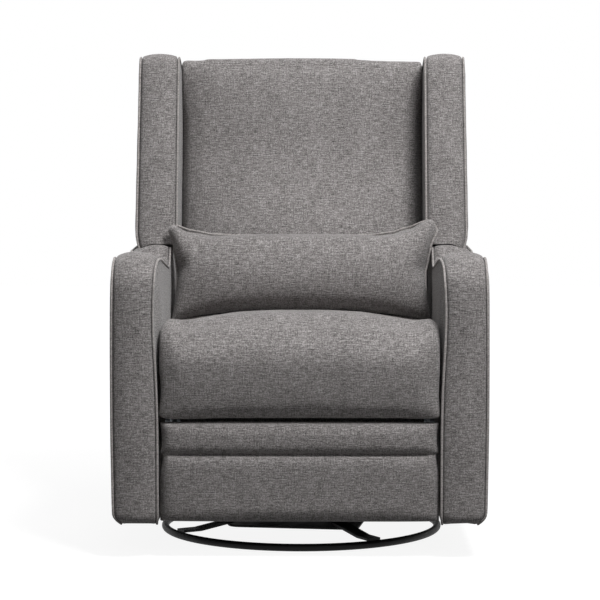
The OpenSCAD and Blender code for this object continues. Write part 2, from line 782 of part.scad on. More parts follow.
// Padded roll that closes the top between the cushion and the outside back
module back_top_roll() color(fabric) {
    roll_t = back_rear_t - post_front_t;
    on_back()
        translate([-wing_in + soft_gap + welt_r, post_front_t, post_end + soft_gap])
            rotate([90, 0, 90])
                linear_extrude(2 * (wing_in - soft_gap - welt_r))
                    union() {
                        square([roll_t, roll_h / 2]);
                        translate([roll_h / 2, roll_h / 2])
                            circle(d = roll_h);
                        translate([roll_h / 2, 0])
                            square([roll_t - roll_h / 2, roll_h]);
                    }
}

bracket_w = 30;
module back_brackets() color(zinc) {
    top = pivot + lean_up * (post_start + 2.5 * bracket_w);
    both_sides()
        difference() {
            slab(link_x, plate_t)
                link_shape(pivot, top, bracket_w);
            pin(pivot, link_x - overrun, plate_t + 2 * overrun, pin_r + pin_clear);
        }
}

module back_posts() color(timber)
    both_sides()
        on_back()
            translate([link_x - post_w, post_front_t, post_start])
                cube([post_w, post_t, post_end - post_start]);

back_rail_shares = [0.02, 0.52, 1];
module back_cross_rails() color(timber)
    on_back()
        for (s = back_rail_shares)
            translate([-link_x + post_w, post_front_t,
                post_start + s * (post_end - post_start - rail_h)])
                cube([2 * (link_x - post_w), post_t, rail_h]);

module back_webbing() color(strap)
    on_back()
        for (k = [0 : webbing_n - 1])
            translate([-link_x, post_front_t - webbing_t,
                post_start + (k + 0.5) * (post_end - post_start) / webbing_n - webbing_w / 2])
                cube([2 * link_x, webbing_t, webbing_w]);

// Back cushion: flat against the webbing, crowned in front, drawn in at its sides
wing_post_gap = 3.5;
wing_in = link_x + wing_post_gap;
back_flat_t = post_front_t - webbing_t - soft_gap;
lumbar_share = -0.38;
lumbar_reach_share = 0.42;
crown_fall_share = 0.55;
back_rim_share = 0.45;
back_draw_share = 0.012;
module back_cushion() color(fabric) {
    half_w = min(wing_in, arm_in) - soft_gap - welt_r;
    height = back_cushion_end - back_cushion_start;
    edge = function(s) pow(max(0, 1 - pow(abs(s), 10)), 0.5);
    dome = function(a, b)
        back_cushion_t * (back_rim_share + (1 - back_rim_share) * edge(a) * edge(b))
        + back_crown * (1 - sq(a)) * (1 - sq(b) * crown_fall_share)
        + lumbar_crown * (1 - sq(a)) * exp(-sq((b - lumbar_share) / lumbar_reach_share));
    on_back()
        grid_solid(spaced(14), spaced(18),
            function(a, b) [a * half_w * (1 - back_draw_share * (1 - sq(b))),
                back_flat_t - dome(a, b), back_cushion_start + height * (b + 1) / 2],
            function(a, b) [a * half_w * (1 - back_draw_share * (1 - sq(b))), back_flat_t,
                back_cushion_start + height * (b + 1) / 2]);
}

// Wing: the same strip as the arm's, up its front and back along its top
wing_bottom_z = arm_rest_z + strip_crown * lip_crown_share + wing_gap;
function back_point(t, h) = pivot + t * lean_back + h * lean_up;
wing_foot_h = (wing_bottom_z - pivot[1] + wing_front_t * sin(back_lean)) / cos(back_lean);
wing_stations = concat(
    [[back_point(wing_front_t, wing_foot_h), [-1 / cos(back_lean), 0], 0.6],
        [back_point(wing_front_t, wing_foot_h + wing_nose_r * 3), lean_back * -1, 1],
        [back_point(wing_front_t, wing_crown_h - wing_nose_r), lean_back * -1, 1]],
    bend(back_point(wing_front_t + wing_nose_r, wing_crown_h - wing_nose_r), wing_nose_r,
        90 - back_lean, 45, 3, (1 + wing_top_crown_share) / 2),
    bend(back_point(wing_front_t + wing_nose_r, wing_crown_h - wing_nose_r), wing_nose_r,
        45, -back_lean, 4, wing_top_crown_share),
    [[back_point(back_rear_t, wing_crown_h), lean_up, wing_top_crown_share]]);
wing_rear_h = (wing_bottom_z - pivot[1] + back_rear_t * sin(back_lean)) / cos(back_lean);
wing_rear_foot = back_point(back_rear_t, wing_rear_h);

module wing() color(fabric)
    strip_solid(wing_in, wing_w, wing_stations, wing_rear_foot);
module wing_left() mirror([1, 0, 0]) wing();
module wing_right() wing();

// Outside back: a padded board behind the wings, narrower where it runs down between the arms
outside_foot = -15;
outside_corner_r = 18;
cheek_t = 7.5;
cheek_front_t = 16;
cheek_foot = 30;
module outside_back() color(fabric_dark) {
    half_top = wing_in + wing_w - welt_r;
    half_low = arm_in - 2 * welt_r;
    shoulder = wing_rear_h + outside_t;
    top_h = wing_crown_h;
    cheek_top = wing_rear_h - (back_rear_t - cheek_front_t) * tan(back_lean) - soft_gap;
    on_back()
        both_sides()
            translate([link_x + soft_gap, cheek_front_t, cheek_foot])
                cube([cheek_t, back_rear_t - cheek_front_t, cheek_top - cheek_foot]);
    on_back()
        translate([0, back_rear_t + outside_t, 0])
            rotate([90, 0, 0])
                linear_extrude(outside_t) {
                    polygon([[-half_low, outside_foot], [half_low, outside_foot],
                        [half_low, shoulder], [half_top, shoulder],
                        [half_top, top_h - outside_corner_r],
                        [half_top - outside_corner_r, top_h],
                        [-half_top + outside_corner_r, top_h],
                        [-half_top, top_h - outside_corner_r],
                        [-half_top, shoulder], [-half_low, shoulder]]);
                    for (s = [-1, 1])
                        disc([s * (half_top - outside_corner_r), top_h - outside_corner_r],
                            outside_corner_r);
                }
}

// Lumbar pillow: knife edged, with its sides drawn in between drawn-out corners,
// standing on the seat and leaning on the swell of the back
pillow_tilt = 13;
pillow_settle = [0.9, -11.1];
swell_t = back_cushion_t + back_crown + lumbar_crown;
swell_at = back_point(back_flat_t - swell_t,
    back_cushion_start + (back_cushion_end - back_cushion_start) * (1 + lumbar_share) / 2);
pillow_at = [swell_at[0] - pillow_t / 2,
    cushion_z + seat_cushion_h + pillow_h / 2 * cos(pillow_tilt)] + pillow_settle;
module lumbar_pillow() color(fabric) {
    half_w = pillow_w / 2;
    half_h = pillow_h / 2;
    draw_shares = [0.03, 0.15];
    puff = function(a, b) pow((1 - pow(abs(a), 5)) * (1 - sq(b)), 0.55);
    rim_t = welt_r;
    spot = function(a, b, side)
        [a * half_w * (1 - draw_shares[0] * (1 - sq(b))),
            side * (rim_t + (pillow_t / 2 - rim_t) * puff(a, b)),
            b * half_h * (1 - draw_shares[1] * (1 - sq(a) * sq(a)))];
    translate([0, pillow_at[0], pillow_at[1]])
        rotate([-pillow_tilt, 0, 0])
            grid_solid(spaced(18), spaced(12),
                function(a, b) spot(a, b, -1), function(a, b) spot(a, b, 1));
}

base_ring();
base_spokes();
base_hub();
hub_bolts();
swivel_washer();
spindle_nut();
swivel_plate();
glide_stand_left();
glide_stand_right();
swing_links_front();
swing_links_rear();
glide_rail_left();
glide_rail_right();
carriage_crossbars();
mechanism_plate_left();
mechanism_plate_right();
arm_bolts();
arm_left();
arm_right();
rear_panel();
seat_cranks_front();
seat_cranks_rear();
seat_plate_left();
seat_plate_right();
seat_side_rails();
seat_cross_rails();
seat_springs();
seat_cushion();
footrest_front_links();
footrest_rear_links();
footrest_upper_links();
footrest_lower_links();
footrest_cross_tube();
footrest_brackets();
footrest_board();
footrest_pad();
back_brackets();
back_posts();
back_cross_rails();
back_webbing();
back_cushion();
back_top_roll();
wing_left();
wing_right();
outside_back();
lumbar_pillow();
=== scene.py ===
# Upholstered swivel glider recliner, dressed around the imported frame. Metres, front is -Y.
import json
import math

import bmesh
import bpy
from mathutils import Matrix, Vector, noise


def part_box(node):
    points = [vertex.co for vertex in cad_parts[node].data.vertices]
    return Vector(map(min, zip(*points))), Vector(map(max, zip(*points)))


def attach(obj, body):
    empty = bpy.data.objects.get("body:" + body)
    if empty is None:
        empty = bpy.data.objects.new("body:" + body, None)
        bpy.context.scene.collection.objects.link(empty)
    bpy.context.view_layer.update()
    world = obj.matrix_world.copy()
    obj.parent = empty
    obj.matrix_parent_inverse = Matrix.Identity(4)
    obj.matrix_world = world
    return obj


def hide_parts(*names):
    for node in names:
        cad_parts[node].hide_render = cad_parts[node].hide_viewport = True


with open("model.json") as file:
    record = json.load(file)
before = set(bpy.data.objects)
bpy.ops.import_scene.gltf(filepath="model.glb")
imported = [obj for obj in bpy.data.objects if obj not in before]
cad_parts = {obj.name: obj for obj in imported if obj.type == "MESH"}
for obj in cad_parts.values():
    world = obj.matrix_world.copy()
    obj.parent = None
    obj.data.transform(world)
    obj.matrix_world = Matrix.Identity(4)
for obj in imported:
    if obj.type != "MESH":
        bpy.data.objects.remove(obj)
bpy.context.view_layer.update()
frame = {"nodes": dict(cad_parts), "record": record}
nodes = frame["nodes"]
scene = bpy.context.scene
print("frame loaded,", len(nodes), "nodes")


# Colours are sRGB hex values, turned linear here
def linearColour(hexCode):
    channels = [int(hexCode[i:i + 2], 16) / 255 for i in (1, 3, 5)]
    return [c / 12.92 if c <= 0.04045 else ((c + 0.055) / 1.055) ** 2.4 for c in channels] + [1]


def addNode(tree, kind, links=None, **settings):
    node = tree.nodes.new(kind)
    for name, value in settings.items():
        setattr(node, name, value)
    for socket, source in (links or {}).items():
        if isinstance(source, bpy.types.NodeSocket):
            tree.links.new(source, node.inputs[socket])
        else:
            node.inputs[socket].default_value = source
    return node


def newMaterial(name):
    material = bpy.data.materials.new(name)
    material.use_nodes = True
    material.node_tree.nodes.clear()
    return material, material.node_tree


def colourRamp(tree, value, stops):
    ramp = addNode(tree, "ShaderNodeValToRGB", {"Fac": value})
    elements = ramp.color_ramp.elements
    while len(elements) < len(stops):
        elements.new(0.5)
    for element, (place, hexCode) in zip(elements, stops):
        element.position = place
        element.color = linearColour(hexCode)
    return ramp.outputs[0]


def finished(material, values):
    shader = addNode(material.node_tree, "ShaderNodeBsdfPrincipled", values)
    addNode(material.node_tree, "ShaderNodeOutputMaterial", {"Surface": shader.outputs[0]})
    return material


# Polyester tweed, plain weave of slubby yarns: matt, speckled light and dark, soft sheen at grazing
fabricLook = {
    "yarnMm": 2.4,          # real yarns lie about 0.9 mm apart, drawn coarser so that they show
    "slubMm": 16.0,         # length of the streaks along a yarn
    "speckleMm": 2.9,
    "warpShare": 0.36,      # the weft shows more than the warp
    "speckleShare": 0.5,
    "blotchMm": 60.0,
    "blotchShare": 0.06,
    "weaveHollowShade": 0.08,      # painted shade: how much lighter the yarns are drawn where they cross over, and darker where they dip under
    "toneSpread": 0.125,    # noise values this far from the middle reach the dark and light colours
    "bumpMm": 0.45,
    "bumpStrength": 0.7,
    "roughness": 0.93,
    "specular": 0.25,
    "sheen": 0.22,
    "sheenRoughness": 0.5,
}


def tweedMaterial(name, dark, mid, light, look=fabricLook):
    material, tree = newMaterial(name)
    uv = addNode(tree, "ShaderNodeUVMap", uv_map="cloth").outputs["UV"]
    perYarn = 1000 / look["yarnMm"]
    perSlub = 1000 / look["slubMm"]
    weftSpace = addNode(tree, "ShaderNodeMapping", {"Vector": uv, "Scale": (perSlub, perYarn, 1)})
    warpSpace = addNode(tree, "ShaderNodeMapping", {"Vector": uv, "Scale": (perYarn, perSlub, 1)})
    weftTone = addNode(tree, "ShaderNodeTexNoise", {"Vector": weftSpace.outputs[0], "Scale": 1.0, "Detail": 2.0})
    warpTone = addNode(tree, "ShaderNodeTexNoise", {"Vector": warpSpace.outputs[0], "Scale": 1.0, "Detail": 2.0})
    speckle = addNode(tree, "ShaderNodeTexNoise",
                      {"Vector": uv, "Scale": 1000 / look["speckleMm"], "Detail": 3.0, "Roughness": 0.65})
    blotch = addNode(tree, "ShaderNodeTexNoise", {"Vector": uv, "Scale": 1000 / look["blotchMm"], "Detail": 2.0})
    # over and under of the plain weave
    yarnSpace = addNode(tree, "ShaderNodeMapping", {"Vector": uv, "Scale": (perYarn, perYarn, 1)})
    over = addNode(tree, "ShaderNodeTexChecker", {"Vector": yarnSpace.outputs[0], "Scale": 1.0})
    # a wave texture's period is pi / 10 over its scale
    waveScale = perYarn * math.pi / 10
    warpRound = addNode(tree, "ShaderNodeTexWave", {"Vector": uv, "Scale": waveScale}, bands_direction="X")
    weftRound = addNode(tree, "ShaderNodeTexWave", {"Vector": uv, "Scale": waveScale}, bands_direction="Y")
    tone = addNode(tree, "ShaderNodeMix", {"Factor": look["warpShare"], "A": weftTone.outputs[0],
                                           "B": warpTone.outputs[0]}, data_type="FLOAT")
    height = addNode(tree, "ShaderNodeMix", {"Factor": over.outputs["Fac"], "A": weftRound.outputs["Fac"],
                                             "B": warpRound.outputs["Fac"]}, data_type="FLOAT")
    mixed = addNode(tree, "ShaderNodeMix", {"Factor": look["speckleShare"], "A": tone.outputs[0],
                                            "B": speckle.outputs[0]}, data_type="FLOAT")
    broad = addNode(tree, "ShaderNodeMix", {"Factor": look["blotchShare"], "A": mixed.outputs[0],
                                            "B": blotch.outputs[0]}, data_type="FLOAT")
    # painted shade in the weave: yarn crossings lighter, the hollows between the yarns darker
    deep = addNode(tree, "ShaderNodeMath", {0: height.outputs[0], 1: look["weaveHollowShade"], 2: -look["weaveHollowShade"] / 2},
                   operation="MULTIPLY_ADD")
    total = addNode(tree, "ShaderNodeMath", {0: broad.outputs[0], 1: deep.outputs[0]}, operation="ADD")
    spread = look["toneSpread"]
    tint = colourRamp(tree, total.outputs[0], [(0.5 - spread, dark), (0.5, mid), (0.5 + spread, light)])
    bumpHeight = addNode(tree, "ShaderNodeMath", {0: height.outputs[0], 1: speckle.outputs[0]}, operation="ADD")
    bump = addNode(tree, "ShaderNodeBump", {"Height": bumpHeight.outputs[0], "Strength": look["bumpStrength"],
                                            "Distance": look["bumpMm"] / 1000})
    return finished(material, {"Base Color": tint, "Normal": bump.outputs[0], "Roughness": look["roughness"],
                               "Sheen Weight": look["sheen"], "Sheen Roughness": look["sheenRoughness"],
                               "Specular IOR Level": look["specular"]})


# Powder-coated steel: near black, slightly textured, soft highlights
def powderCoatMaterial(name, colour="#0c0c0d", grainMm=0.9, roughness=(0.44, 0.58), specular=0.18):
    material, tree = newMaterial(name)
    place = addNode(tree, "ShaderNodeTexCoord").outputs["Object"]
    grain = addNode(tree, "ShaderNodeTexNoise", {"Vector": place, "Scale": 1000 / grainMm, "Detail": 2.0})
    rub = addNode(tree, "ShaderNodeTexNoise", {"Vector": place, "Scale": 14.0, "Detail": 3.0})
    gloss = addNode(tree, "ShaderNodeMapRange", {"Value": rub.outputs[0], "From Min": 0.3, "From Max": 0.7,
                                                 "To Min": roughness[0], "To Max": roughness[1]})
    bump = addNode(tree, "ShaderNodeBump", {"Height": grain.outputs[0], "Strength": 0.25, "Distance": 0.0002})
    return finished(material, {"Base Color": linearColour(colour), "Roughness": gloss.outputs[0],
                               "Normal": bump.outputs[0], "Specular IOR Level": specular})


# Bright zinc plate: pale bluish grey metal, faintly clouded, drawn marks from the rolled sheet
def zincMaterial(name, colour="#a9adb2", shade="#83878c", roughness=(0.26, 0.42)):
    material, tree = newMaterial(name)
    place = addNode(tree, "ShaderNodeTexCoord").outputs["Object"]
    cloud = addNode(tree, "ShaderNodeTexNoise", {"Vector": place, "Scale": 55.0, "Detail": 4.0})
    stretched = addNode(tree, "ShaderNodeMapping", {"Vector": place, "Scale": (60, 60, 1400)})
    drawn = addNode(tree, "ShaderNodeTexNoise", {"Vector": stretched.outputs[0], "Scale": 1.0, "Detail": 2.0})
    tint = colourRamp(tree, cloud.outputs[0], [(0.35, shade), (0.65, colour)])
    gloss = addNode(tree, "ShaderNodeMapRange", {"Value": drawn.outputs[0], "From Min": 0.3, "From Max": 0.7,
                                                 "To Min": roughness[0], "To Max": roughness[1]})
    bump = addNode(tree, "ShaderNodeBump", {"Height": drawn.outputs[0], "Strength": 0.2, "Distance": 0.0002})
    return finished(material, {"Base Color": tint, "Metallic": 1.0, "Roughness": gloss.outputs[0],
                               "Normal": bump.outputs[0]})


# Planed beech and poplar frame rails: pale straw, fine long grain, no finish
def timberMaterial(name, pale="#c9a877", brown="#a07c4e", ringMm=9.0):
    material, tree = newMaterial(name)
    place = addNode(tree, "ShaderNodeTexCoord").outputs["Object"]
    warp = addNode(tree, "ShaderNodeTexNoise", {"Vector": place, "Scale": 6.0, "Detail": 2.0})
    shifted = addNode(tree, "ShaderNodeMix", {"Factor": 0.04, "A": place, "B": warp.outputs["Color"]},
                      data_type="VECTOR")
    rings = addNode(tree, "ShaderNodeTexWave",
                    {"Vector": shifted.outputs[1], "Scale": 100 / ringMm, "Distortion": 3.0, "Detail": 3.0,
                     "Detail Scale": 1.5}, bands_direction="DIAGONAL")
    fibre = addNode(tree, "ShaderNodeTexNoise", {"Vector": place, "Scale": 420.0, "Detail": 3.0})
    tone = addNode(tree, "ShaderNodeMix", {"Factor": 0.35, "A": rings.outputs["Fac"],
                                           "B": fibre.outputs[0]}, data_type="FLOAT")
    tint = colourRamp(tree, tone.outputs[0], [(0.2, pale), (0.85, brown)])
    bump = addNode(tree, "ShaderNodeBump", {"Height": fibre.outputs[0], "Strength": 0.25, "Distance": 0.0003})
    return finished(material, {"Base Color": tint, "Roughness": 0.68, "Normal": bump.outputs[0]})


# Woven elastic webbing: black strap with fine ribs across it
def strapMaterial(name, colour="#26272a", ribMm=2.5):
    material, tree = newMaterial(name)
    place = addNode(tree, "ShaderNodeTexCoord").outputs["Object"]
    ribs = addNode(tree, "ShaderNodeTexWave", {"Vector": place, "Scale": 1000 / ribMm * math.pi / 10},
                   bands_direction="X")
    fuzz = addNode(tree, "ShaderNodeTexNoise", {"Vector": place, "Scale": 900.0, "Detail": 2.0})
    tint = colourRamp(tree, fuzz.outputs[0], [(0.3, "#1b1c1e"), (0.7, colour)])
    bump = addNode(tree, "ShaderNodeBump", {"Height": ribs.outputs["Fac"], "Strength": 0.5, "Distance": 0.0005})
    return finished(material, {"Base Color": tint, "Roughness": 0.8, "Normal": bump.outputs[0]})


# Natural nylon washer: milky, slightly waxy
def nylonMaterial(name, colour="#e4e2da"):
    material, tree = newMaterial(name)
    place = addNode(tree, "ShaderNodeTexCoord").outputs["Object"]
    haze = addNode(tree, "ShaderNodeTexNoise", {"Vector": place, "Scale": 120.0, "Detail": 2.0})
    tint = colourRamp(tree, haze.outputs[0], [(0.3, "#d6d3c8"), (0.7, colour)])
    return finished(material, {"Base Color": tint, "Roughness": 0.45, "IOR": 1.53})


tweed = tweedMaterial("greyTweed", "#474443", "#827e7d", "#b9b5b4")
# the piping is the same tweed drawn lighter, a painted highlight on the welts
tweedPipingPaintedHighlight = tweedMaterial("greyTweedPipingPaintedHighlight", "#6e6a68", "#a19c9a", "#c8c4c1")
# the outside back is the same tweed drawn darker, painted shade
tweedRearPaintedShade = tweedMaterial("greyTweedRearPaintedShade", "#444140", "#7c7877", "#b1adac")
finishes = {
    "black_steel": powderCoatMaterial("blackPowderCoat"),
    "zinc_steel": zincMaterial("brightZinc"),
    "frame_timber": timberMaterial("planedTimber"),
    "webbing": strapMaterial("elasticWebbing"),
    "nylon": nylonMaterial("naturalNylon"),
}
for part in frame["record"]["subparts"]:
    if part["material_slot"] in finishes:
        nodes[part["node"]].data.materials.clear()
        nodes[part["node"]].data.materials.append(finishes[part["material_slot"]])
print("materials made")


# Shared ways of making upholstery
def meshObject(name, bm, material, body, smoothAngle=40):
    bmesh.ops.recalc_face_normals(bm, faces=bm.faces)
    limit = math.radians(smoothAngle)
    for face in bm.faces:
        face.smooth = True
    for edge in bm.edges:
        if len(edge.link_faces) == 2 and edge.calc_face_angle(0) > limit:
            edge.smooth = False
    clothUv(bm)
    mesh = bpy.data.meshes.new(name)
    bm.to_mesh(mesh)
    bm.free()
    mesh.materials.append(material)
    piece = bpy.data.objects.new(name, mesh)
    scene.collection.objects.link(piece)
    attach(piece, body)
    return piece


# The weave lies straight on each side of a piece, in metres, and turns over its edges
def clothUv(bm):
    layer = bm.loops.layers.uv.get("cloth") or bm.loops.layers.uv.new("cloth")
    bm.normal_update()
    for face in bm.faces:
        across, along, up = (abs(c) for c in face.normal)
        for loop in face.loops:
            x, y, z = loop.vert.co
            if across > max(along, up):
                loop[layer].uv = (y, z)
            elif up > along * 1.1:
                loop[layer].uv = (x, y)
            else:
                loop[layer].uv = (x, z)


def mirrored(piece, name, body, nodeName=None):
    mesh = piece.data.copy()
    bm = bmesh.new()
    bm.from_mesh(mesh)
    bmesh.ops.scale(bm, vec=(-1, 1, 1), verts=bm.verts)
    bmesh.ops.recalc_face_normals(bm, faces=bm.faces)
    bm.to_mesh(mesh)
    bm.free()
    twin = bpy.data.objects.new(name, mesh)
    scene.collection.objects.link(twin)
    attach(twin, body)
    if nodeName:
        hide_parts(nodeName)
    return twin


# A row of points round a bend, with the outward direction at each
def bendPoints(centre, radius, fromAngle, toAngle, steps):
    found = []
    for i in range(1, steps + 1):
        heading = math.radians(fromAngle + (toAngle - fromAngle) * i / steps)
        outward = Vector((-math.sin(heading), math.cos(heading)))
        found.append((Vector(centre) + radius * outward, outward))
    return found


def straightPoints(start, end, outward, stepLength):
    start, end = Vector(start), Vector(end)
    steps = max(1, round((end - start).length / stepLength))
    return [(start.lerp(end, i / steps), Vector(outward)) for i in range(1, steps + 1)]


# Piping: a round cord under fabric, swept along points in space
def piping(name, points, radius, body, closed=False, roundness=2):
    curve = bpy.data.curves.new(name + "Line", "CURVE")
    curve.dimensions = "3D"
    curve.bevel_depth = radius
    curve.bevel_resolution = roundness
    curve.use_fill_caps = not closed
    line = curve.splines.new("POLY")
    line.points.add(len(points) - 1)
    for target, point in zip(line.points, points):
        target.co = (*point, 1)
    line.use_cyclic_u = closed
    holder = bpy.data.objects.new(name + "Line", curve)
    scene.collection.objects.link(holder)
    bpy.context.view_layer.update()
    tube = bpy.data.meshes.new_from_object(holder.evaluated_get(bpy.context.evaluated_depsgraph_get()))
    bm = bmesh.new()
    bm.from_mesh(tube)
    bmesh.ops.remove_doubles(bm, verts=bm.verts, dist=1e-6)
    bpy.data.objects.remove(holder)
    # wrapped in the lighter copy of the tweed, a painted highlight
    return meshObject(name, bm, tweedPipingPaintedHighlight, body, smoothAngle=70)


# Cloth recipe: the skin swells under pressure, each point between a small give and the cap
def swell(piece, pressure, cap, give=0.0015, frames=16, stiffness=15.0, bending=0.6, shrink=0.0,
          calm=2):
    mesh = piece.data
    rest = [(v.co.copy(), v.normal.copy()) for v in mesh.vertices]
    cloth = piece.modifiers.new("Cloth", "CLOTH")
    settings = cloth.settings
    settings.quality = 4
    settings.mass = 0.3
    settings.tension_stiffness = stiffness
    settings.compression_stiffness = stiffness
    settings.bending_stiffness = bending
    settings.use_pressure = True
    settings.uniform_pressure_force = pressure
    settings.effector_weights.gravity = 0
    settings.shrink_min = shrink
    cloth.point_cache.frame_start = 1
    cloth.point_cache.frame_end = frames
    for number in range(1, frames + 1):
        scene.frame_set(number)
    graph = bpy.context.evaluated_depsgraph_get()
    swollen = piece.evaluated_get(graph).to_mesh()
    moved = [v.co.copy() for v in swollen.vertices]
    piece.evaluated_get(graph).to_mesh_clear()
    piece.modifiers.remove(cloth)
    scene.frame_set(1)
    travels = []
    for (before, outward), after in zip(rest, moved):
        travel = after - before
        out = travel.dot(outward)
        travel += outward * (min(max(out, -give), cap) - out)
        if travel.length > cap:
            travel *= cap / travel.length
        travels.append(travel)
    # neighbours share their travel, which calms the small waves
    for _ in range(calm):
        sums, counts = [travel.copy() for travel in travels], [1] * len(travels)
        for edge in mesh.edges:
            a, b = edge.vertices
            sums[a] += travels[b]
            sums[b] += travels[a]
            counts[a] += 1
            counts[b] += 1
        travels = [total / count for total, count in zip(sums, counts)]
    for v, (before, _), travel in zip(mesh.vertices, rest, travels):
        v.co = before + travel
    mesh.update()


# A closed shape as an even skin of small faces, the start of a cushion
def evenSkin(bm, name, voxel, smoothing):
    mesh = bpy.data.meshes.new(name + "Start")
    bm.to_mesh(mesh)
    bm.free()
    holder = bpy.data.objects.new(name + "Start", mesh)
    scene.collection.objects.link(holder)
    remesh = holder.modifiers.new("Remesh", "REMESH")
    remesh.mode = "VOXEL"
    remesh.voxel_size = voxel
    bpy.context.view_layer.update()
    dense = bpy.data.meshes.new_from_object(holder.evaluated_get(bpy.context.evaluated_depsgraph_get()))
    bpy.data.objects.remove(holder)
    bm = bmesh.new()
    bm.from_mesh(dense)
    for _ in range(smoothing):
        bmesh.ops.smooth_vert(bm, verts=bm.verts, factor=0.5, use_axis_x=True, use_axis_y=True, use_axis_z=True)
    return bm


def softCopy(nodeName, name, voxel, smoothing):
    bm = bmesh.new()
    bm.from_mesh(nodes[nodeName].data)
    bmesh.ops.remove_doubles(bm, verts=bm.verts, dist=1e-5)
    return evenSkin(bm, name, voxel, smoothing)


# A block of even divisions, each point placed by its shares from -1 to 1 and its side, front -1
def shapedBlock(columns, rows, layers, place):
    bm = bmesh.new()
    bmesh.ops.create_cube(bm, size=2)
    for axis, count in ((0, columns), (2, rows), (1, layers)):
        edges = [e for e in bm.edges if abs(e.verts[0].co[axis] - e.verts[1].co[axis]) > 1]
        if count > 1:
            bmesh.ops.subdivide_edges(bm, edges=edges, cuts=count - 1, use_grid_fill=True)
    for v in bm.verts:
        v.co = place(*v.co)
    return bm


# Rounds the swollen skin off once more and lays the weave over it again
def refine(piece):
    smoother = piece.modifiers.new("Subdivision", "SUBSURF")
    smoother.levels = 1
    smoother.render_levels = 1
    graph = bpy.context.evaluated_depsgraph_get()
    fine = bpy.data.meshes.new_from_object(piece.evaluated_get(graph))
    piece.modifiers.remove(smoother)
    old = piece.data
    piece.data = fine
    bpy.data.meshes.remove(old)
    for polygon in fine.polygons:
        polygon.use_smooth = True
    bm = bmesh.new()
    bm.from_mesh(piece.data)
    clothUv(bm)
    bm.to_mesh(piece.data)
    bm.free()


def keepBetween(piece, sideLimit):
    for v in piece.data.vertices:
        v.co.x = max(-sideLimit, min(sideLimit, v.co.x))


def smoothShare(value, low, high):
    t = min(1.0, max(0.0, (value - low) / (high - low)))
    return t * t * (3 - 2 * t)


# Neighbouring points of a closed outline give the way inwards at each of them
def inwardSteps(outline):
    count = len(outline)
    area = sum(a.x * b.y - b.x * a.y for a, b in zip(outline, outline[1:] + outline[:1]))
    turn = 1 if area > 0 else -1
    steps = []
    for i, point in enumerate(outline):
        before = (point - outline[i - 1]).normalized()
        after = (outline[(i + 1) % count] - point).normalized()
        inwards = Vector((-before.y - after.y, before.x + after.x)) * turn
        inwards.normalize()
        across = Vector((-before.y, before.x)) * turn
        steps.append(inwards / max(0.5, inwards.dot(across)))
    return steps


# A value read off a short table of places
def readTable(table, at):
    if at <= table[0][0]:
        return table[0][1]
    for (a, low), (b, high) in zip(table, table[1:]):
        if at <= b:
            t = (at - a) / (b - a)
            return low + (high - low) * t * t * (3 - 2 * t)
    return table[-1][1]


# The outward directions follow the line once it is eased, except at its foot
def easedPath(path, rounds=3):
    spots = [p for p, _ in path]
    for _ in range(rounds):
        spots = [spots[0]] + [(a + 2 * b + c) / 4 for a, b, c in zip(spots, spots[1:], spots[2:])] + [spots[-1]]
    eased = [(spots[0], path[0][1])]
    for i in range(1, len(spots)):
        run = spots[min(i + 1, len(spots) - 1)] - spots[i - 1]
        eased.append((spots[i], Vector((-run.y, run.x)).normalized()))
    return eased


def distanceTo(spot, a, b):
    run = b - a
    share = max(0.0, min(1.0, (spot - a).dot(run) / max(1e-12, run.length_squared)))
    return (spot - a - run * share).length


# Boxed upholstery: two side panels with a crowned boxing strip along its front and top
boxing = {
    "groove": 0.0038, "seamSink": 0.0045, "seamFade": (0.8, 1.7), "crownPower": 0.55,
    "wobble": 0.0009, "wobbleAcross": 2, "wobbleAlong": 9, "slack": 0.0008, "slackScale": 7,
    "rings": (0.003, 0.008, 0.015), "gridStep": 0.02, "puffReach": 0.04, "weltOut": -0.0004, "weltAside": 0.0004,
    "underBand": 0.004,
}


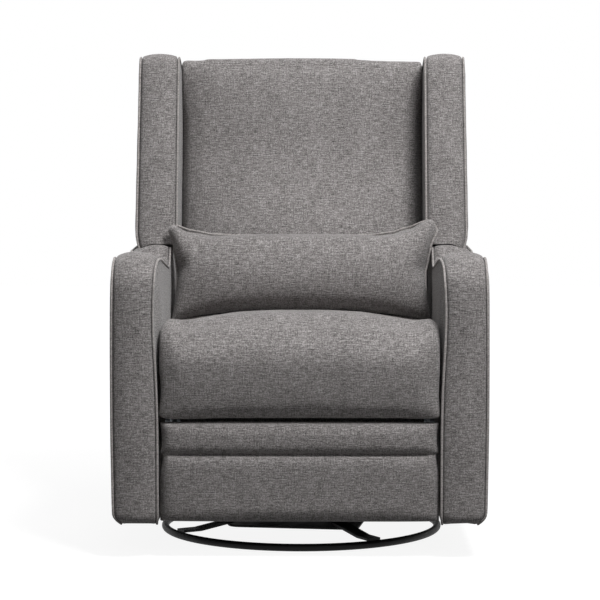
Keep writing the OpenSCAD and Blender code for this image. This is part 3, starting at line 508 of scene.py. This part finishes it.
def boxedBody(name, path, corner, s, body, bend):
    bm = bmesh.new()
    last = len(path) - 1
    inner, width = s["inner"], s["width"]
    near = [mm / 1000 / width for mm in s["stripMm"]]
    shares = near + [0.5] + [1 - share for share in reversed(near)]
    bmesh.ops.create_grid(bm, x_segments=len(shares) - 1, y_segments=last, size=0.5)
    for v in bm.verts:
        share = shares[round((v.co.x + 0.5) * (len(shares) - 1))]
        point, outward = path[round((v.co.y + 0.5) * last)]
        edge = min(share, 1 - share) * width
        full = max(0.0, (edge - boxing["groove"]) / (width - 2 * boxing["groove"]))
        rise = readTable(s["crown"], point.x) * math.sin(math.pi * full) ** boxing["crownPower"]
        low, high = boxing["seamFade"]
        rise -= boxing["seamSink"] * (1 - smoothShare(edge, boxing["groove"] * low, boxing["groove"] * high))
        across, along = boxing["wobbleAcross"], boxing["wobbleAlong"]
        rise += boxing["wobble"] * full * noise.noise(Vector((share * across, point.x * along, point.y * along)))
        v.co = (inner + width * share, point.x + outward.x * rise, point.y + outward.y * rise)
    made = {}
    for side, x in ((-1, inner), (1, inner + width)):
        chain = [e for e in bm.edges if e.is_boundary and all(abs(v.co.x - x) < 1e-6 for v in e.verts)]
        seamVerts = {v for e in chain for v in e.verts}
        ordered = []
        for point, outward in path:
            at = Vector((x, *(point - outward * boxing["seamSink"])))
            ordered.append(min(seamVerts, key=lambda v: (v.co - at).length_squared))
        made[side] = bm.verts.new((x, *corner))
        loopVerts = ordered + [made[side]]
        chain += [bm.edges.new((ordered[-1], made[side])), bm.edges.new((made[side], ordered[0]))]
        outline = [Vector(v.co.yz) for v in loopVerts]
        steps = inwardSteps(outline)
        ring, places = chain, outline
        for reach in boxing["rings"]:
            new = bmesh.ops.extrude_edge_only(bm, edges=ring)["geom"]
            ring = [g for g in new if isinstance(g, bmesh.types.BMEdge)]
            shifted = [spot + step * reach for spot, step in zip(outline, steps)]
            for v in {v for e in ring for v in e.verts}:
                i = min(range(len(places)), key=lambda k: (places[k] - v.co.yz).length_squared)
                v.co.yz = shifted[i]
            places = shifted
        bmesh.ops.edgeloop_fill(bm, edges=ring)
        for axis in (1, 2):
            at = min(spot[axis - 1] for spot in outline) + boxing["gridStep"]
            while at < max(spot[axis - 1] for spot in outline):
                panel = [f for f in bm.faces if all(abs(v.co.x - x) < 1e-6 for v in f.verts)]
                geom = {g for f in panel for g in (f, *f.edges, *f.verts)}
                place, cut = [0, 0, 0], [0, 0, 0]
                place[axis], cut[axis] = at, 1
                bmesh.ops.bisect_plane(bm, geom=list(geom), dist=1e-5, plane_co=place, plane_no=cut)
                at += boxing["gridStep"]
        closed = outline + outline[:1]
        puff = s["outerPuff"] if side > 0 else s["innerPuff"]
        for v in bm.verts:
            if abs(v.co.x - x) < 1e-6 and v not in loopVerts:
                spot = Vector(v.co.yz)
                away = min(distanceTo(spot, a, b) for a, b in zip(closed, closed[1:]))
                fullness = 1 - (1 - min(1, away / boxing["puffReach"])) ** 2
                scale = boxing["slackScale"]
                slack = boxing["slack"] * noise.noise(Vector((side * 3, v.co.y * scale, v.co.z * scale)))
                v.co.x += side * (puff * fullness + slack * fullness + 1e-5)
    # underside and rear close the body
    cross = bm.edges.new((made[-1], made[1]))
    openEdges = [e for e in bm.edges if e.is_boundary]
    under = [e for e in openEdges if max(v.co.z for v in e.verts) < path[0][0].y + boxing["underBand"]]
    bmesh.ops.contextual_create(bm, geom=under + [cross])
    bmesh.ops.contextual_create(bm, geom=[e for e in openEdges if e not in under] + [cross])
    for v in bm.verts:
        v.co = bend(v.co)
    return meshObject(name, bm, tweed, body, smoothAngle=50)


# Arms
armShape = {
    "front": -0.406, "rear": 0.262, "bottom": 0.0725, "top": 0.612,
    "noseRadius": 0.065, "slope": 7.0, "dip": 0.578, "dipRadius": 0.05,
    "lipTurn": 65.0, "lipRadius": 0.02, "lipFall": 20.0, "levelDrop": 0.002, "tailDrop": 0.001,
    "inner": 0.287, "width": 0.0905,
    "footRun": 0.04, "footStep": 0.005, "step": 0.018, "noseSteps": 14, "dipSteps": 12, "lipSteps": 9,
    "levelRun": 0.02, "levelSteps": (0.004, 0.005, 0.018, 0.008),
    "weltRadius": 0.0025, "stripMm": (0, 1.6, 3, 4, 5, 6.5, 9, 13, 19, 27, 36),
    "crown": ((-0.33, 0.0135), (-0.10, 0.0112), (-0.05, 0.0098), (0.0, 0.0095), (0.02, 0.005), (0.25, 0.005)),
    "outerFall": ((-0.12, 0.0), (-0.05, 0.006), (-0.01, 0.016), (0.012, 0.016), (0.03, 0.007), (0.24, 0.003)),
    "innerPuff": 0.0012, "outerPuff": 0.0062,
    "bulge": 0.003, "footTuck": 0.016, "footReach": 0.024, "footSide": 0.002,
    "tuckAcross": (0.45, 1.02), "sideAcross": (0.6, 1.02), "footArch": 0.005, "archReach": 0.012,
    "footRoll": 0.012, "rollFrom": (0.36, 0.41),
    "innerBow": 0.008, "bowHeight": 0.495, "bowReach": 0.125, "bowFrom": (0.33, 0.39),
    "fallHeights": (0.5, 0.57), "fallInwards": 0.25, "innerFall": 0.004, "innerFallFrom": (0.26, 0.36),
}


def armPath(s):
    slope, turn = s["slope"], s["lipTurn"]
    foot, low, high = ((s["front"], z) for z in (s["bottom"], s["bottom"] + s["footRun"], s["top"] - s["noseRadius"]))
    path = [(Vector(foot), Vector((-1, 0)))]
    path += straightPoints(foot, low, (-1, 0), s["footStep"])
    path += straightPoints(low, high, (-1, 0), s["step"])
    nose = Vector((s["front"] + s["noseRadius"], s["top"] - s["noseRadius"]))
    path += bendPoints(nose, s["noseRadius"], 90, -slope, s["noseSteps"])
    end = path[-1][0]
    fall = Vector((math.sin(math.radians(slope)), math.cos(math.radians(slope))))
    dipZ = s["dip"] + s["dipRadius"] * (1 - math.cos(math.radians(slope)))
    dip = Vector((end.x + (end.y - dipZ) / math.tan(math.radians(slope)), dipZ))
    path += straightPoints(end, dip, fall, s["step"])
    dipCentre = dip + s["dipRadius"] * fall
    for i in range(1, s["dipSteps"] + 1):
        heading = math.radians(-slope + (turn + slope) * i / s["dipSteps"])
        outward = Vector((-math.sin(heading), math.cos(heading)))
        path.append((dipCentre - s["dipRadius"] * outward, outward))
    lipCentre = path[-1][0] - s["lipRadius"] * path[-1][1]
    lipTop = lipCentre.y + s["lipRadius"]
    path += bendPoints(lipCentre, s["lipRadius"], turn, -s["lipFall"], s["lipSteps"])
    end, levelZ = path[-1][0], lipTop - s["levelDrop"]
    level = Vector((end.x + (end.y - levelZ) / math.tan(math.radians(s["lipFall"])), levelZ))
    first, second, third, last = s["levelSteps"]
    path += straightPoints(end, level, (0, 1), first)
    path += straightPoints(level, level + Vector((s["levelRun"], 0)), (0, 1), second)
    tail = Vector((s["rear"] - s["lipRadius"] * 2, levelZ))
    path += straightPoints(path[-1][0], tail, (0, 1), third)
    path += straightPoints(tail, (s["rear"], levelZ - s["tailDrop"]), (0, 1), last)
    return easedPath(path), lipTop


armLine, armRestZ = armPath(armShape)


# The outer side bows a little, the rest falls away outwards, and the foot tucks in at its corners
def armBend(point):
    s = armShape
    share = (point.x - s["inner"]) / s["width"]
    across = min(1, max(0, share))
    height = min(1, max(0, (point.z - s["bottom"]) / (armRestZ - s["bottom"])))
    sideways = s["bulge"] * math.sin(math.pi * height) * across
    low = max(0.0, 1 - (point.z - s["bottom"]) / s["footReach"])
    sideways -= s["footTuck"] * low * low * smoothShare(share, *s["tuckAcross"])
    sideways += s["footSide"] * low * low * smoothShare(1 - share, *s["sideAcross"])
    lift = s["footArch"] * math.sin(math.pi * across) * max(0.0, 1 - (point.z - s["bottom"]) / s["archReach"])
    nearFront = smoothShare(-point.y, *s["bowFrom"])
    sideways += s["innerBow"] * nearFront * (1 - across) * math.exp(-((point.z - s["bowHeight"]) / s["bowReach"]) ** 2)
    roll = s["footRoll"] * low * low * smoothShare(-point.y, *s["rollFrom"])
    high = smoothShare(point.z, *s["fallHeights"])
    fall = readTable(s["outerFall"], point.y) * high
    sideways -= s["fallInwards"] * fall * across ** 2
    lift -= fall * across ** 2 + s["innerFall"] * high * (1 - across) ** 2 * smoothShare(-point.y, *s["innerFallFrom"])
    return Vector((point.x + sideways, point.y + roll, point.z + lift))


def weltLine(path, x, sign, bend):
    line = []
    for p, outward in path:
        at = p + outward * boxing["weltOut"]
        line.append(bend(Vector((x - sign * boxing["weltAside"], at.x, at.y))))
    return line


def boxedPair(rightName, leftName, nodePair, path, corner, s, body, bend):
    right = boxedBody(rightName, path, corner, s, body, bend)
    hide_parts(nodePair[0])
    left = mirrored(right, leftName, body, nodePair[1])
    for place, x, sign in (("Inner", s["inner"], -1), ("Outer", s["inner"] + s["width"], 1)):
        line = weltLine(path, x, sign, bend)
        welt = piping(rightName + "Welt" + place, line, s["weltRadius"], body)
        mirrored(welt, leftName + "Welt" + place, body)


boxedPair("armRight", "armLeft", ("arm_right", "arm_left"), armLine, (armShape["rear"], armShape["bottom"]),
          armShape, "carriage", armBend)
print("arms made")


# Wings, drawn along and across the leaning back
wingShape = {
    "lean": 13.0, "pivotY": 0.215, "pivotZ": 0.360,
    "topAlong": 0.6472, "front": -0.240, "rear": 0.045, "noseRadius": 0.026,
    "inner": 0.2755, "width": 0.0865, "gapAboveRest": 0.0045,
    "footRun": 0.04, "footStep": 0.006, "step": 0.018, "noseSteps": 10,
    "weltRadius": 0.0024, "stripMm": (0, 1.6, 3, 4, 5, 6.5, 9, 13, 19, 27, 35),
    "crown": ((0.03, 0.0125), (0.10, 0.0135), (0.135, 0.009), (0.17, 0.0055), (0.4, 0.0055)),
    "innerPuff": 0.0018, "outerPuff": 0.0058, "spread": 0.003, "topZ": 1.045,
    "footTuck": 0.007, "footReach": 0.030, "tuckAcross": (0.4, 1.02), "footArch": 0.003, "archReach": 0.012,
    "droop": 0.010, "droopAcross": (0.66, 1.0), "droopAlong": (-0.14, -0.04),
}
leanAngle = math.radians(wingShape["lean"])
leanUp = Vector((math.sin(leanAngle), math.cos(leanAngle)))
leanBack = Vector((math.cos(leanAngle), -math.sin(leanAngle)))
backPivot = Vector((wingShape["pivotY"], wingShape["pivotZ"]))


def backPoint(t, h):
    return backPivot + t * leanBack + h * leanUp


def heightAt(t, z):
    return (z - backPivot.y + t * math.sin(leanAngle)) / math.cos(leanAngle)


def wingPath(s):
    foot = armRestZ + s["gapAboveRest"]
    footH, topH, nose = heightAt(s["front"], foot), s["topAlong"], s["noseRadius"]
    start, low, high = (backPoint(s["front"], h) for h in (footH, footH + s["footRun"], topH - nose))
    path = [(start, Vector((-1 / math.cos(leanAngle), 0)))]
    path += straightPoints(start, low, -leanBack, s["footStep"])
    path += straightPoints(low, high, -leanBack, s["step"])
    centre = backPoint(s["front"] + nose, topH - nose)
    path += bendPoints(centre, nose, 90 - s["lean"], -s["lean"], s["noseSteps"])
    path += straightPoints(path[-1][0], backPoint(s["rear"], topH), leanUp, s["step"])
    return path, backPoint(s["rear"], heightAt(s["rear"], foot)), foot


wingLine, wingRearFoot, wingFootZ = wingPath(wingShape)


def wingBend(point):
    s = wingShape
    share = (point.x - s["inner"]) / s["width"]
    across = min(1, max(0, share))
    low = max(0.0, 1 - (point.z - wingFootZ) / s["footReach"])
    height = min(1, max(0, (point.z - wingFootZ) / (s["topZ"] - wingFootZ)))
    sideways = s["spread"] * (1 - height) * across
    sideways -= s["footTuck"] * low * low * smoothShare(share, *s["tuckAcross"])
    lift = s["footArch"] * math.sin(math.pi * across) * max(0.0, 1 - (point.z - wingFootZ) / s["archReach"])
    lift -= s["droop"] * smoothShare(share, *s["droopAcross"]) * low * smoothShare(-point.y, *s["droopAlong"])
    return Vector((point.x + sideways, point.y, point.z + lift))


boxedPair("wingRight", "wingLeft", ("wing_right", "wing_left"), wingLine, tuple(wingRearFoot),
          wingShape, "back", wingBend)
print("wings made")


# Seat cushion: a foam block with a bull nose, boxed sides that reach the arms, pulled down at its front
seatShape = {
    "voxel": 0.0072, "smoothing": 4, "pressure": 3.5, "cap": 0.009, "sideLimit": 0.2856,
    "widen": 1.012, "frontToRear": (-0.37, -0.22), "topHeights": (0.37, 0.46),
    "sideRise": 0.018, "riseFrom": 0.80, "rearDrop": 0.004, "rearSideDrop": 0.019, "dropFrom": 0.4,
    "rearReach": 0.017, "reachFrom": (-0.06, 0.05), "footDrop": 0.007, "footHeights": (0.29, 0.36),
}
bm = softCopy("seat_cushion", "seatCushion", seatShape["voxel"], seatShape["smoothing"])
for v in bm.verts:
    v.co.x *= seatShape["widen"]
    share = abs(v.co.x) / seatShape["sideLimit"]
    rear = smoothShare(v.co.y, *seatShape["frontToRear"])
    high = smoothShare(v.co.z, *seatShape["topHeights"])
    sideDrop = seatShape["rearSideDrop"] * smoothShare(share, seatShape["dropFrom"], 1.0)
    v.co.z += seatShape["sideRise"] * smoothShare(share, seatShape["riseFrom"], 1.0) * high * (1 - rear)
    v.co.z -= (seatShape["rearDrop"] + sideDrop) * high * rear
    v.co.y += seatShape["rearReach"] * smoothShare(v.co.y, *seatShape["reachFrom"])
    v.co.z -= seatShape["footDrop"] * (1 - smoothShare(v.co.z, *seatShape["footHeights"]))
seatCushion = meshObject("seatCushion", bm, tweed, "seat", smoothAngle=180)
swell(seatCushion, seatShape["pressure"], seatShape["cap"])
keepBetween(seatCushion, seatShape["sideLimit"])
refine(seatCushion)
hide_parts("seat_cushion")
print("seat cushion made")

# Back cushion between the wings: full at the waist, its top edge level with the wings
backShape = {
    "start": 0.036, "end": 0.6438, "frontEnd": 0.6635, "halfWidth": 0.278, "thick": 0.112, "topThick": 0.026,
    "crown": 0.036, "lumbar": 0.034, "lumbarAt": -0.38, "lumbarReach": 0.42, "rearT": -0.0215, "waist": 0.012,
    "rimFoot": 0.60, "rimSide": 0.62, "rimTop": 0.98, "rimPower": 10, "sideFade": (0.5, 0.95), "topFrom": 0.2,
    "rightSag": 0.004, "sagAcross": (0.2, 0.8), "sagCorner": (0.93, 1.0), "crownFall": 0.55,
    "columns": 40, "rows": 40, "layers": 8,
    "voxel": 0.0076, "smoothing": 3, "pressure": 3.0, "cap": 0.005, "sideLimit": 0.2743,
}


def backPlace(a, side, b):
    s = backShape
    edgeA = max(0.0, 1 - abs(a) ** s["rimPower"]) ** 0.5
    edgeB = max(0.0, 1 - abs(b) ** s["rimPower"]) ** 0.5
    rim = s["rimTop"] if b > 0 else s["rimFoot"]
    upper = smoothShare(b, s["topFrom"], 1.0)
    deep = s["thick"] + s["topThick"] * upper
    deep *= (rim + (1 - rim) * edgeB) * (1 - (1 - s["rimSide"]) * (1 - edgeA) * (1 - smoothShare(b, *s["sideFade"])))
    deep += s["crown"] * (1 - a * a) * (1 - s["crownFall"] * b * b)
    deep += s["lumbar"] * (1 - a * a) * math.exp(-((b - s["lumbarAt"]) / s["lumbarReach"]) ** 2)
    front = (1 - side) / 2
    end = s["end"] + (s["frontEnd"] - s["end"]) * front * upper
    end -= s["rightSag"] * (smoothShare(a, *s["sagAcross"]) + smoothShare(a, *s["sagCorner"])) * upper * front
    spot = backPoint(s["rearT"] - deep * front, s["start"] + (end - s["start"]) * (b + 1) / 2)
    return a * s["halfWidth"] * (1 - s["waist"] * (1 - b * b)), spot.x, spot.y


bm = shapedBlock(backShape["columns"], backShape["rows"], backShape["layers"], backPlace)
bmesh.ops.recalc_face_normals(bm, faces=bm.faces)
bm = evenSkin(bm, "backCushion", backShape["voxel"], backShape["smoothing"])
backCushion = meshObject("backCushion", bm, tweed, "back", smoothAngle=180)
swell(backCushion, backShape["pressure"], backShape["cap"])
keepBetween(backCushion, backShape["sideLimit"])
refine(backCushion)
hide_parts("back_cushion")
print("back cushion made")


# Lumbar pillow: two flat panels sewn edge to edge with piping, then filled
pillowShape = {
    "columns": 92, "rows": 34, "tilt": 13.0, "halfWidth": 0.2790, "halfThick": 0.0690,
    "rim": 0.0022, "puffPower": 0.55, "sideDraw": 0.024, "top": 0.0897, "foot": 0.0884, "footCorner": 0.0193,
    "topRollBack": 0.030, "topRollDown": 0.008, "topFull": 0.0115, "middleFade": (0.5, 0.8), "rollFrom": 0.7,
    "earForward": 0.019, "forwardAcross": (0.8, 0.96), "forwardUp": (0.0, 0.7), "earFrom": 0.1, "outFrom": 0.75,
    "leftEar": ((0.70, 0.0), (0.85, 0.007), (0.955, 0.0158), (1.0, 0.0083)),
    "rightEar": ((0.55, 0.0), (0.71, 0.004), (0.83, 0.0145), (0.90, 0.024), (0.955, 0.0287), (1.0, 0.006)),
    "leftOut": ((0.0, 0.0), (0.6, 0.004), (1.0, 0.0125)),
    "rightOut": ((0.0, 0.0), (0.4, 0.005), (0.55, 0.008), (1.0, 0.019)),
    "pressure": 4.0, "cap": 0.007, "give": 0.004, "stiffness": 8.0, "bending": 0.1, "shrink": -0.03,
    "weltRadius": 0.0024, "seamSteps": 60,
}


def pillowPlace(a, side, b):
    s = pillowShape
    puff = max(0.0, (1 - abs(a) ** 5) * (1 - b * b)) ** s["puffPower"]
    x = a * s["halfWidth"] * (1 - s["sideDraw"] * (1 - b * b))
    y = side * (s["rim"] + (s["halfThick"] - s["rim"]) * puff)
    middle = 1 - smoothShare(abs(a), *s["middleFade"])
    z = b * (s["top"] + s["topFull"] * middle if b > 0 else s["foot"] + s["footCorner"] * a ** 4)
    # the top seam rolls back out of sight between the ears
    roll = smoothShare(b, s["rollFrom"], 1.0) * middle
    y += s["topRollBack"] * roll
    z -= s["topRollDown"] * roll
    # the corners stand up as ears in front of the wings, the right one taller and folded outwards
    ear, out = (s["rightEar"], s["rightOut"]) if a > 0 else (s["leftEar"], s["leftOut"])
    z += readTable(ear, abs(a)) * smoothShare(b, s["earFrom"], 1.0)
    x += math.copysign(readTable(out, b), a) * smoothShare(abs(a), s["outFrom"], 1.0)
    y -= s["earForward"] * smoothShare(abs(a), *s["forwardAcross"]) * smoothShare(b, *s["forwardUp"])
    return x, y, z


def makePillow(s):
    low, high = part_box("lumbar_pillow")
    centre = (low + high) / 2
    bm = shapedBlock(s["columns"], s["rows"], 1, pillowPlace)
    settle = Matrix.Translation(centre) @ Matrix.Rotation(math.radians(-s["tilt"]), 4, "X")
    bmesh.ops.transform(bm, matrix=settle, verts=bm.verts)
    bm.normal_update()
    return bm, settle


bm, settle = makePillow(pillowShape)
lumbarPillow = meshObject("lumbarPillow", bm, tweed, "pillow", smoothAngle=180)
swell(lumbarPillow, **{key: pillowShape[key] for key in ("pressure", "cap", "give", "stiffness", "bending", "shrink")})
refine(lumbarPillow)
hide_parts("lumbar_pillow")


# The seam runs once round the pillow, through the middle of its rim
def pillowSeam():
    line = []
    steps = [-1 + 2 * i / pillowShape["seamSteps"] for i in range(pillowShape["seamSteps"])]
    rounds = [(a, 1) for a in steps] + [(1, -b) for b in steps] + [(-a, -1) for a in steps] + [(-1, b) for b in steps]
    for a, b in rounds:
        line.append(settle @ Vector(pillowPlace(a, 0, b)))
    return line


piping("lumbarPillowWelt", pillowSeam(), pillowShape["weltRadius"], "pillow", closed=True)
print("pillow made")

# Footrest: one padded board with a sewn channel across it
footShape = {
    "halfWidth": 0.2836, "top": 0.2795, "bottom": 0.0775, "back": -0.3743, "thick": 0.038,
    "channel": 0.2161, "rim": 0.30, "columns": 56, "rows": 72,
    "sidePower": 13, "upperPower": 4, "lowerPower": 8, "upperPull": 0.004, "lowerPull": 0.006, "pullReach": 0.05,
    "pullPower": 8, "layers": 4, "pressure": 2.0, "cap": 0.004, "give": 0.001, "frames": 10,
}


def footPlace(a, side, b):
    s = footShape
    z = (s["top"] + s["bottom"]) / 2 + b * (s["top"] - s["bottom"]) / 2
    edgeA = max(0.0, 1 - abs(a) ** s["sidePower"]) ** 0.5
    upper = z > s["channel"]
    low, high = (s["channel"], s["top"]) if upper else (s["bottom"], s["channel"])
    share = 2 * (z - low) / (high - low) - 1
    edgeB = max(0.0, 1 - abs(share) ** (s["upperPower"] if upper else s["lowerPower"])) ** 0.5
    deep = s["thick"] * (s["rim"] + (1 - s["rim"]) * edgeA * edgeB)
    if upper:
        pull = s["upperPull"] * (1 - abs(share) ** 2)
    else:
        pull = s["lowerPull"] * smoothShare(z, s["channel"] - s["pullReach"], s["channel"])
    x = a * (s["halfWidth"] - pull * abs(a) ** s["pullPower"])
    return x, s["back"] - deep * (1 - side) / 2, z


bm = shapedBlock(footShape["columns"], footShape["rows"], footShape["layers"], footPlace)
footrestPad = meshObject("footrestPad", bm, tweed, "footrest", smoothAngle=180)
swell(footrestPad, **{key: footShape[key] for key in ("pressure", "cap", "give", "frames")})
refine(footrestPad)
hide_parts("footrest_pad")
print("footrest made")

# Rear: padded outside back, top roll and the panel between the arms
rearShape = {
    "voxel": 0.006, "smoothing": 3, "panelDrop": 0.0105, "panelFoot": (0.083, 0.13),
    "shoulderDrop": 0.018, "shoulderFrom": 0.286, "shoulderHeights": (0.635, 0.68), "shoulderAcross": (0.31, 0.34),
    "widen": 0.0045, "widenBelow": 0.62, "widenAcross": (0.262, 0.2795),
}
s = rearShape
for nodeName, name, body in (("outside_back", "outsideBack", "back"), ("back_top_roll", "backTopRoll", "back"),
                             ("rear_panel", "rearPanel", "carriage")):
    bm = softCopy(nodeName, name, s["voxel"], s["smoothing"])
    for v in bm.verts:
        away = abs(v.co.x)
        if name == "rearPanel":
            v.co.z -= s["panelDrop"] * (1 - smoothShare(v.co.z, *s["panelFoot"]))
        elif name == "outsideBack" and away > s["shoulderFrom"]:
            low = 1 - smoothShare(v.co.z, *s["shoulderHeights"])
            v.co.z -= s["shoulderDrop"] * low * (1 - smoothShare(away, *s["shoulderAcross"]))
        elif name == "outsideBack" and v.co.z < s["widenBelow"]:
            v.co.x += math.copysign(s["widen"] * smoothShare(away, *s["widenAcross"]), v.co.x)
    # covered in the darker copy of the tweed, painted shade
    piece = meshObject(name, bm, tweedRearPaintedShade, body, smoothAngle=180)
    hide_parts(nodeName)
print("rear made")

# Base plate: the flat pressing in the middle of the spokes that the photograph shows, open round the hub
plateShape = {"half": 0.144, "corner": 0.030, "hole": 0.082, "thick": 0.0045, "level": 0.0205, "turn": -8.0,
              "bevel": 0.0012}


def plateOutline(s, steps=8):
    straight = s["half"] - s["corner"]
    line = []
    for quarter in range(4):
        heading = math.radians(45 + 90 * quarter)
        centre = Vector((math.cos(heading), math.sin(heading))) * straight * math.sqrt(2)
        for i in range(steps + 1):
            angle = heading + math.radians(-45 + 90 * i / steps)
            line.append(centre + s["corner"] * Vector((math.cos(angle), math.sin(angle))))
    return line


def makePlate(s):
    bm = bmesh.new()
    outer = plateOutline(s)
    inner = [spot.normalized() * s["hole"] for spot in outer]
    rings = [[bm.verts.new((*spot, s["level"])) for spot in ring] for ring in (outer, inner)]
    count = len(outer)
    for i in range(count):
        j = (i + 1) % count
        bm.faces.new((rings[0][i], rings[0][j], rings[1][j], rings[1][i]))
    made = bmesh.ops.extrude_face_region(bm, geom=list(bm.faces))["geom"]
    bmesh.ops.translate(bm, vec=(0, 0, s["thick"]), verts=[g for g in made if isinstance(g, bmesh.types.BMVert)])
    bmesh.ops.recalc_face_normals(bm, faces=bm.faces)
    rims = [e for e in bm.edges if len(e.link_faces) == 2 and e.calc_face_angle(0) > 1.2]
    bmesh.ops.bevel(bm, geom=rims, offset=s["bevel"], segments=2, affect="EDGES")
    bmesh.ops.rotate(bm, matrix=Matrix.Rotation(math.radians(s["turn"]), 3, "Z"), verts=bm.verts)
    return bm


basePlate = meshObject("basePlate", makePlate(plateShape), finishes["black_steel"], "base")
print("base plate made")

# Studio: white floor and surroundings, lamps at a plain level
studio = {
    "worldLight": 0.09, "keyPlace": (1.0, -2.0, 3.0), "keySize": 1.0, "keyPower": 92.0,
    "topPlace": (0.1, -0.4, 3.6), "topSize": 1.6, "topPower": 32.0,
    "fillPlace": (1.6, -3.2, 1.9), "fillSize": 1.2, "fillPower": 7.0,
    "rearPlace": (-2.0, 3.2, 2.6), "rearSize": 2.0, "rearPower": 60.0, "lampAim": (0, 0, 0.6),
    "floorHalf": 9, "floorBounce": 0.2, "floorSeen": 0.22, "glow": (0.9, 1.0), "glowReach": (0.9, 3.2),
}

for name in ("key", "fill", "top", "rear"):
    lamp = bpy.data.lights.new(name + "Lamp", "AREA")
    lamp.shape = "DISK"
    lamp.size = studio[name + "Size"]
    lamp.energy = studio[name + "Power"]
    holder = bpy.data.objects.new(name + "Lamp", lamp)
    holder.location = studio[name + "Place"]
    sight = Vector(studio["lampAim"]) - Vector(studio[name + "Place"])
    holder.rotation_euler = sight.to_track_quat("-Z", "Y").to_euler()
    scene.collection.objects.link(holder)


# 1 where a surface is looked at, directly, in a reflection or through something clear
def lookedAt(tree):
    rays = addNode(tree, "ShaderNodeLightPath")
    seen = addNode(tree, "ShaderNodeMath", {0: rays.outputs["Is Camera Ray"],
                                            1: rays.outputs["Is Glossy Ray"]}, operation="MAXIMUM")
    seenToo = addNode(tree, "ShaderNodeMath", {0: seen.outputs[0],
                                               1: rays.outputs["Is Transmission Ray"]}, operation="MAXIMUM")
    return seenToo.outputs[0]


world = bpy.data.worlds.new("studioWorld")
scene.world = world
world.use_nodes = True
tree = world.node_tree
tree.nodes.clear()
level = addNode(tree, "ShaderNodeMapRange", {"Value": lookedAt(tree), "To Min": studio["worldLight"], "To Max": 1.0})
sky = addNode(tree, "ShaderNodeBackground", {"Color": (1, 1, 1, 1), "Strength": level.outputs[0]})
addNode(tree, "ShaderNodeOutputWorld", {"Surface": sky.outputs[0]})

bm = bmesh.new()
bmesh.ops.create_grid(bm, x_segments=1, y_segments=1, size=studio["floorHalf"])
floorMesh = bpy.data.meshes.new("floor")
bm.to_mesh(floorMesh)
bm.free()
floor = bpy.data.objects.new("floor", floorMesh)
scene.collection.objects.link(floor)
floorMaterial, tree = newMaterial("whiteStudioFloor")
paper = addNode(tree, "ShaderNodeBsdfDiffuse", {"Color": (*[studio["floorBounce"]] * 3, 1), "Roughness": 1.0})
# where it is looked at, a soft shadow is all that shows of the paper
faint = addNode(tree, "ShaderNodeBsdfDiffuse", {"Color": (*[studio["floorSeen"]] * 3, 1), "Roughness": 1.0})
place = addNode(tree, "ShaderNodeTexCoord").outputs["Object"]
away = addNode(tree, "ShaderNodeVectorMath", {0: place}, operation="LENGTH")
near, far = studio["glowReach"]
low, high = studio["glow"]
glowLevel = addNode(tree, "ShaderNodeMapRange", {"Value": away.outputs["Value"], "From Min": near, "From Max": far,
                                                 "To Min": low, "To Max": high}, interpolation_type="SMOOTHSTEP")
glow = addNode(tree, "ShaderNodeEmission", {"Color": (1, 1, 1, 1), "Strength": glowLevel.outputs[0]})
lit = addNode(tree, "ShaderNodeAddShader", {0: faint.outputs[0], 1: glow.outputs[0]})
floorMix = addNode(tree, "ShaderNodeMixShader", {0: lookedAt(tree), 1: paper.outputs[0], 2: lit.outputs[0]})
addNode(tree, "ShaderNodeOutputMaterial", {"Surface": floorMix.outputs[0]})
floorMesh.materials.append(floorMaterial)

# Camera fitted to the ellipse of the base ring in the photograph
photoView = {"focalPixels": 2190.0, "imagePixels": 600.0, "distance": 4.8, "height": 0.815, "pitch": -3.72,
             "aside": 0.045, "turn": 0.571}
camera = bpy.data.cameras.new("camera")
camera.sensor_width = 36
camera.lens = camera.sensor_width * photoView["focalPixels"] / photoView["imagePixels"]
cameraHolder = bpy.data.objects.new("camera", camera)
cameraHolder.location = (photoView["aside"], -photoView["distance"], photoView["height"])
cameraHolder.rotation_euler = (math.radians(90 + photoView["pitch"]), 0, math.radians(photoView["turn"]))
scene.collection.objects.link(cameraHolder)
scene.camera = cameraHolder
scene.view_settings.view_transform = "Standard"
print("studio made")

bpy.context.view_layer.update()
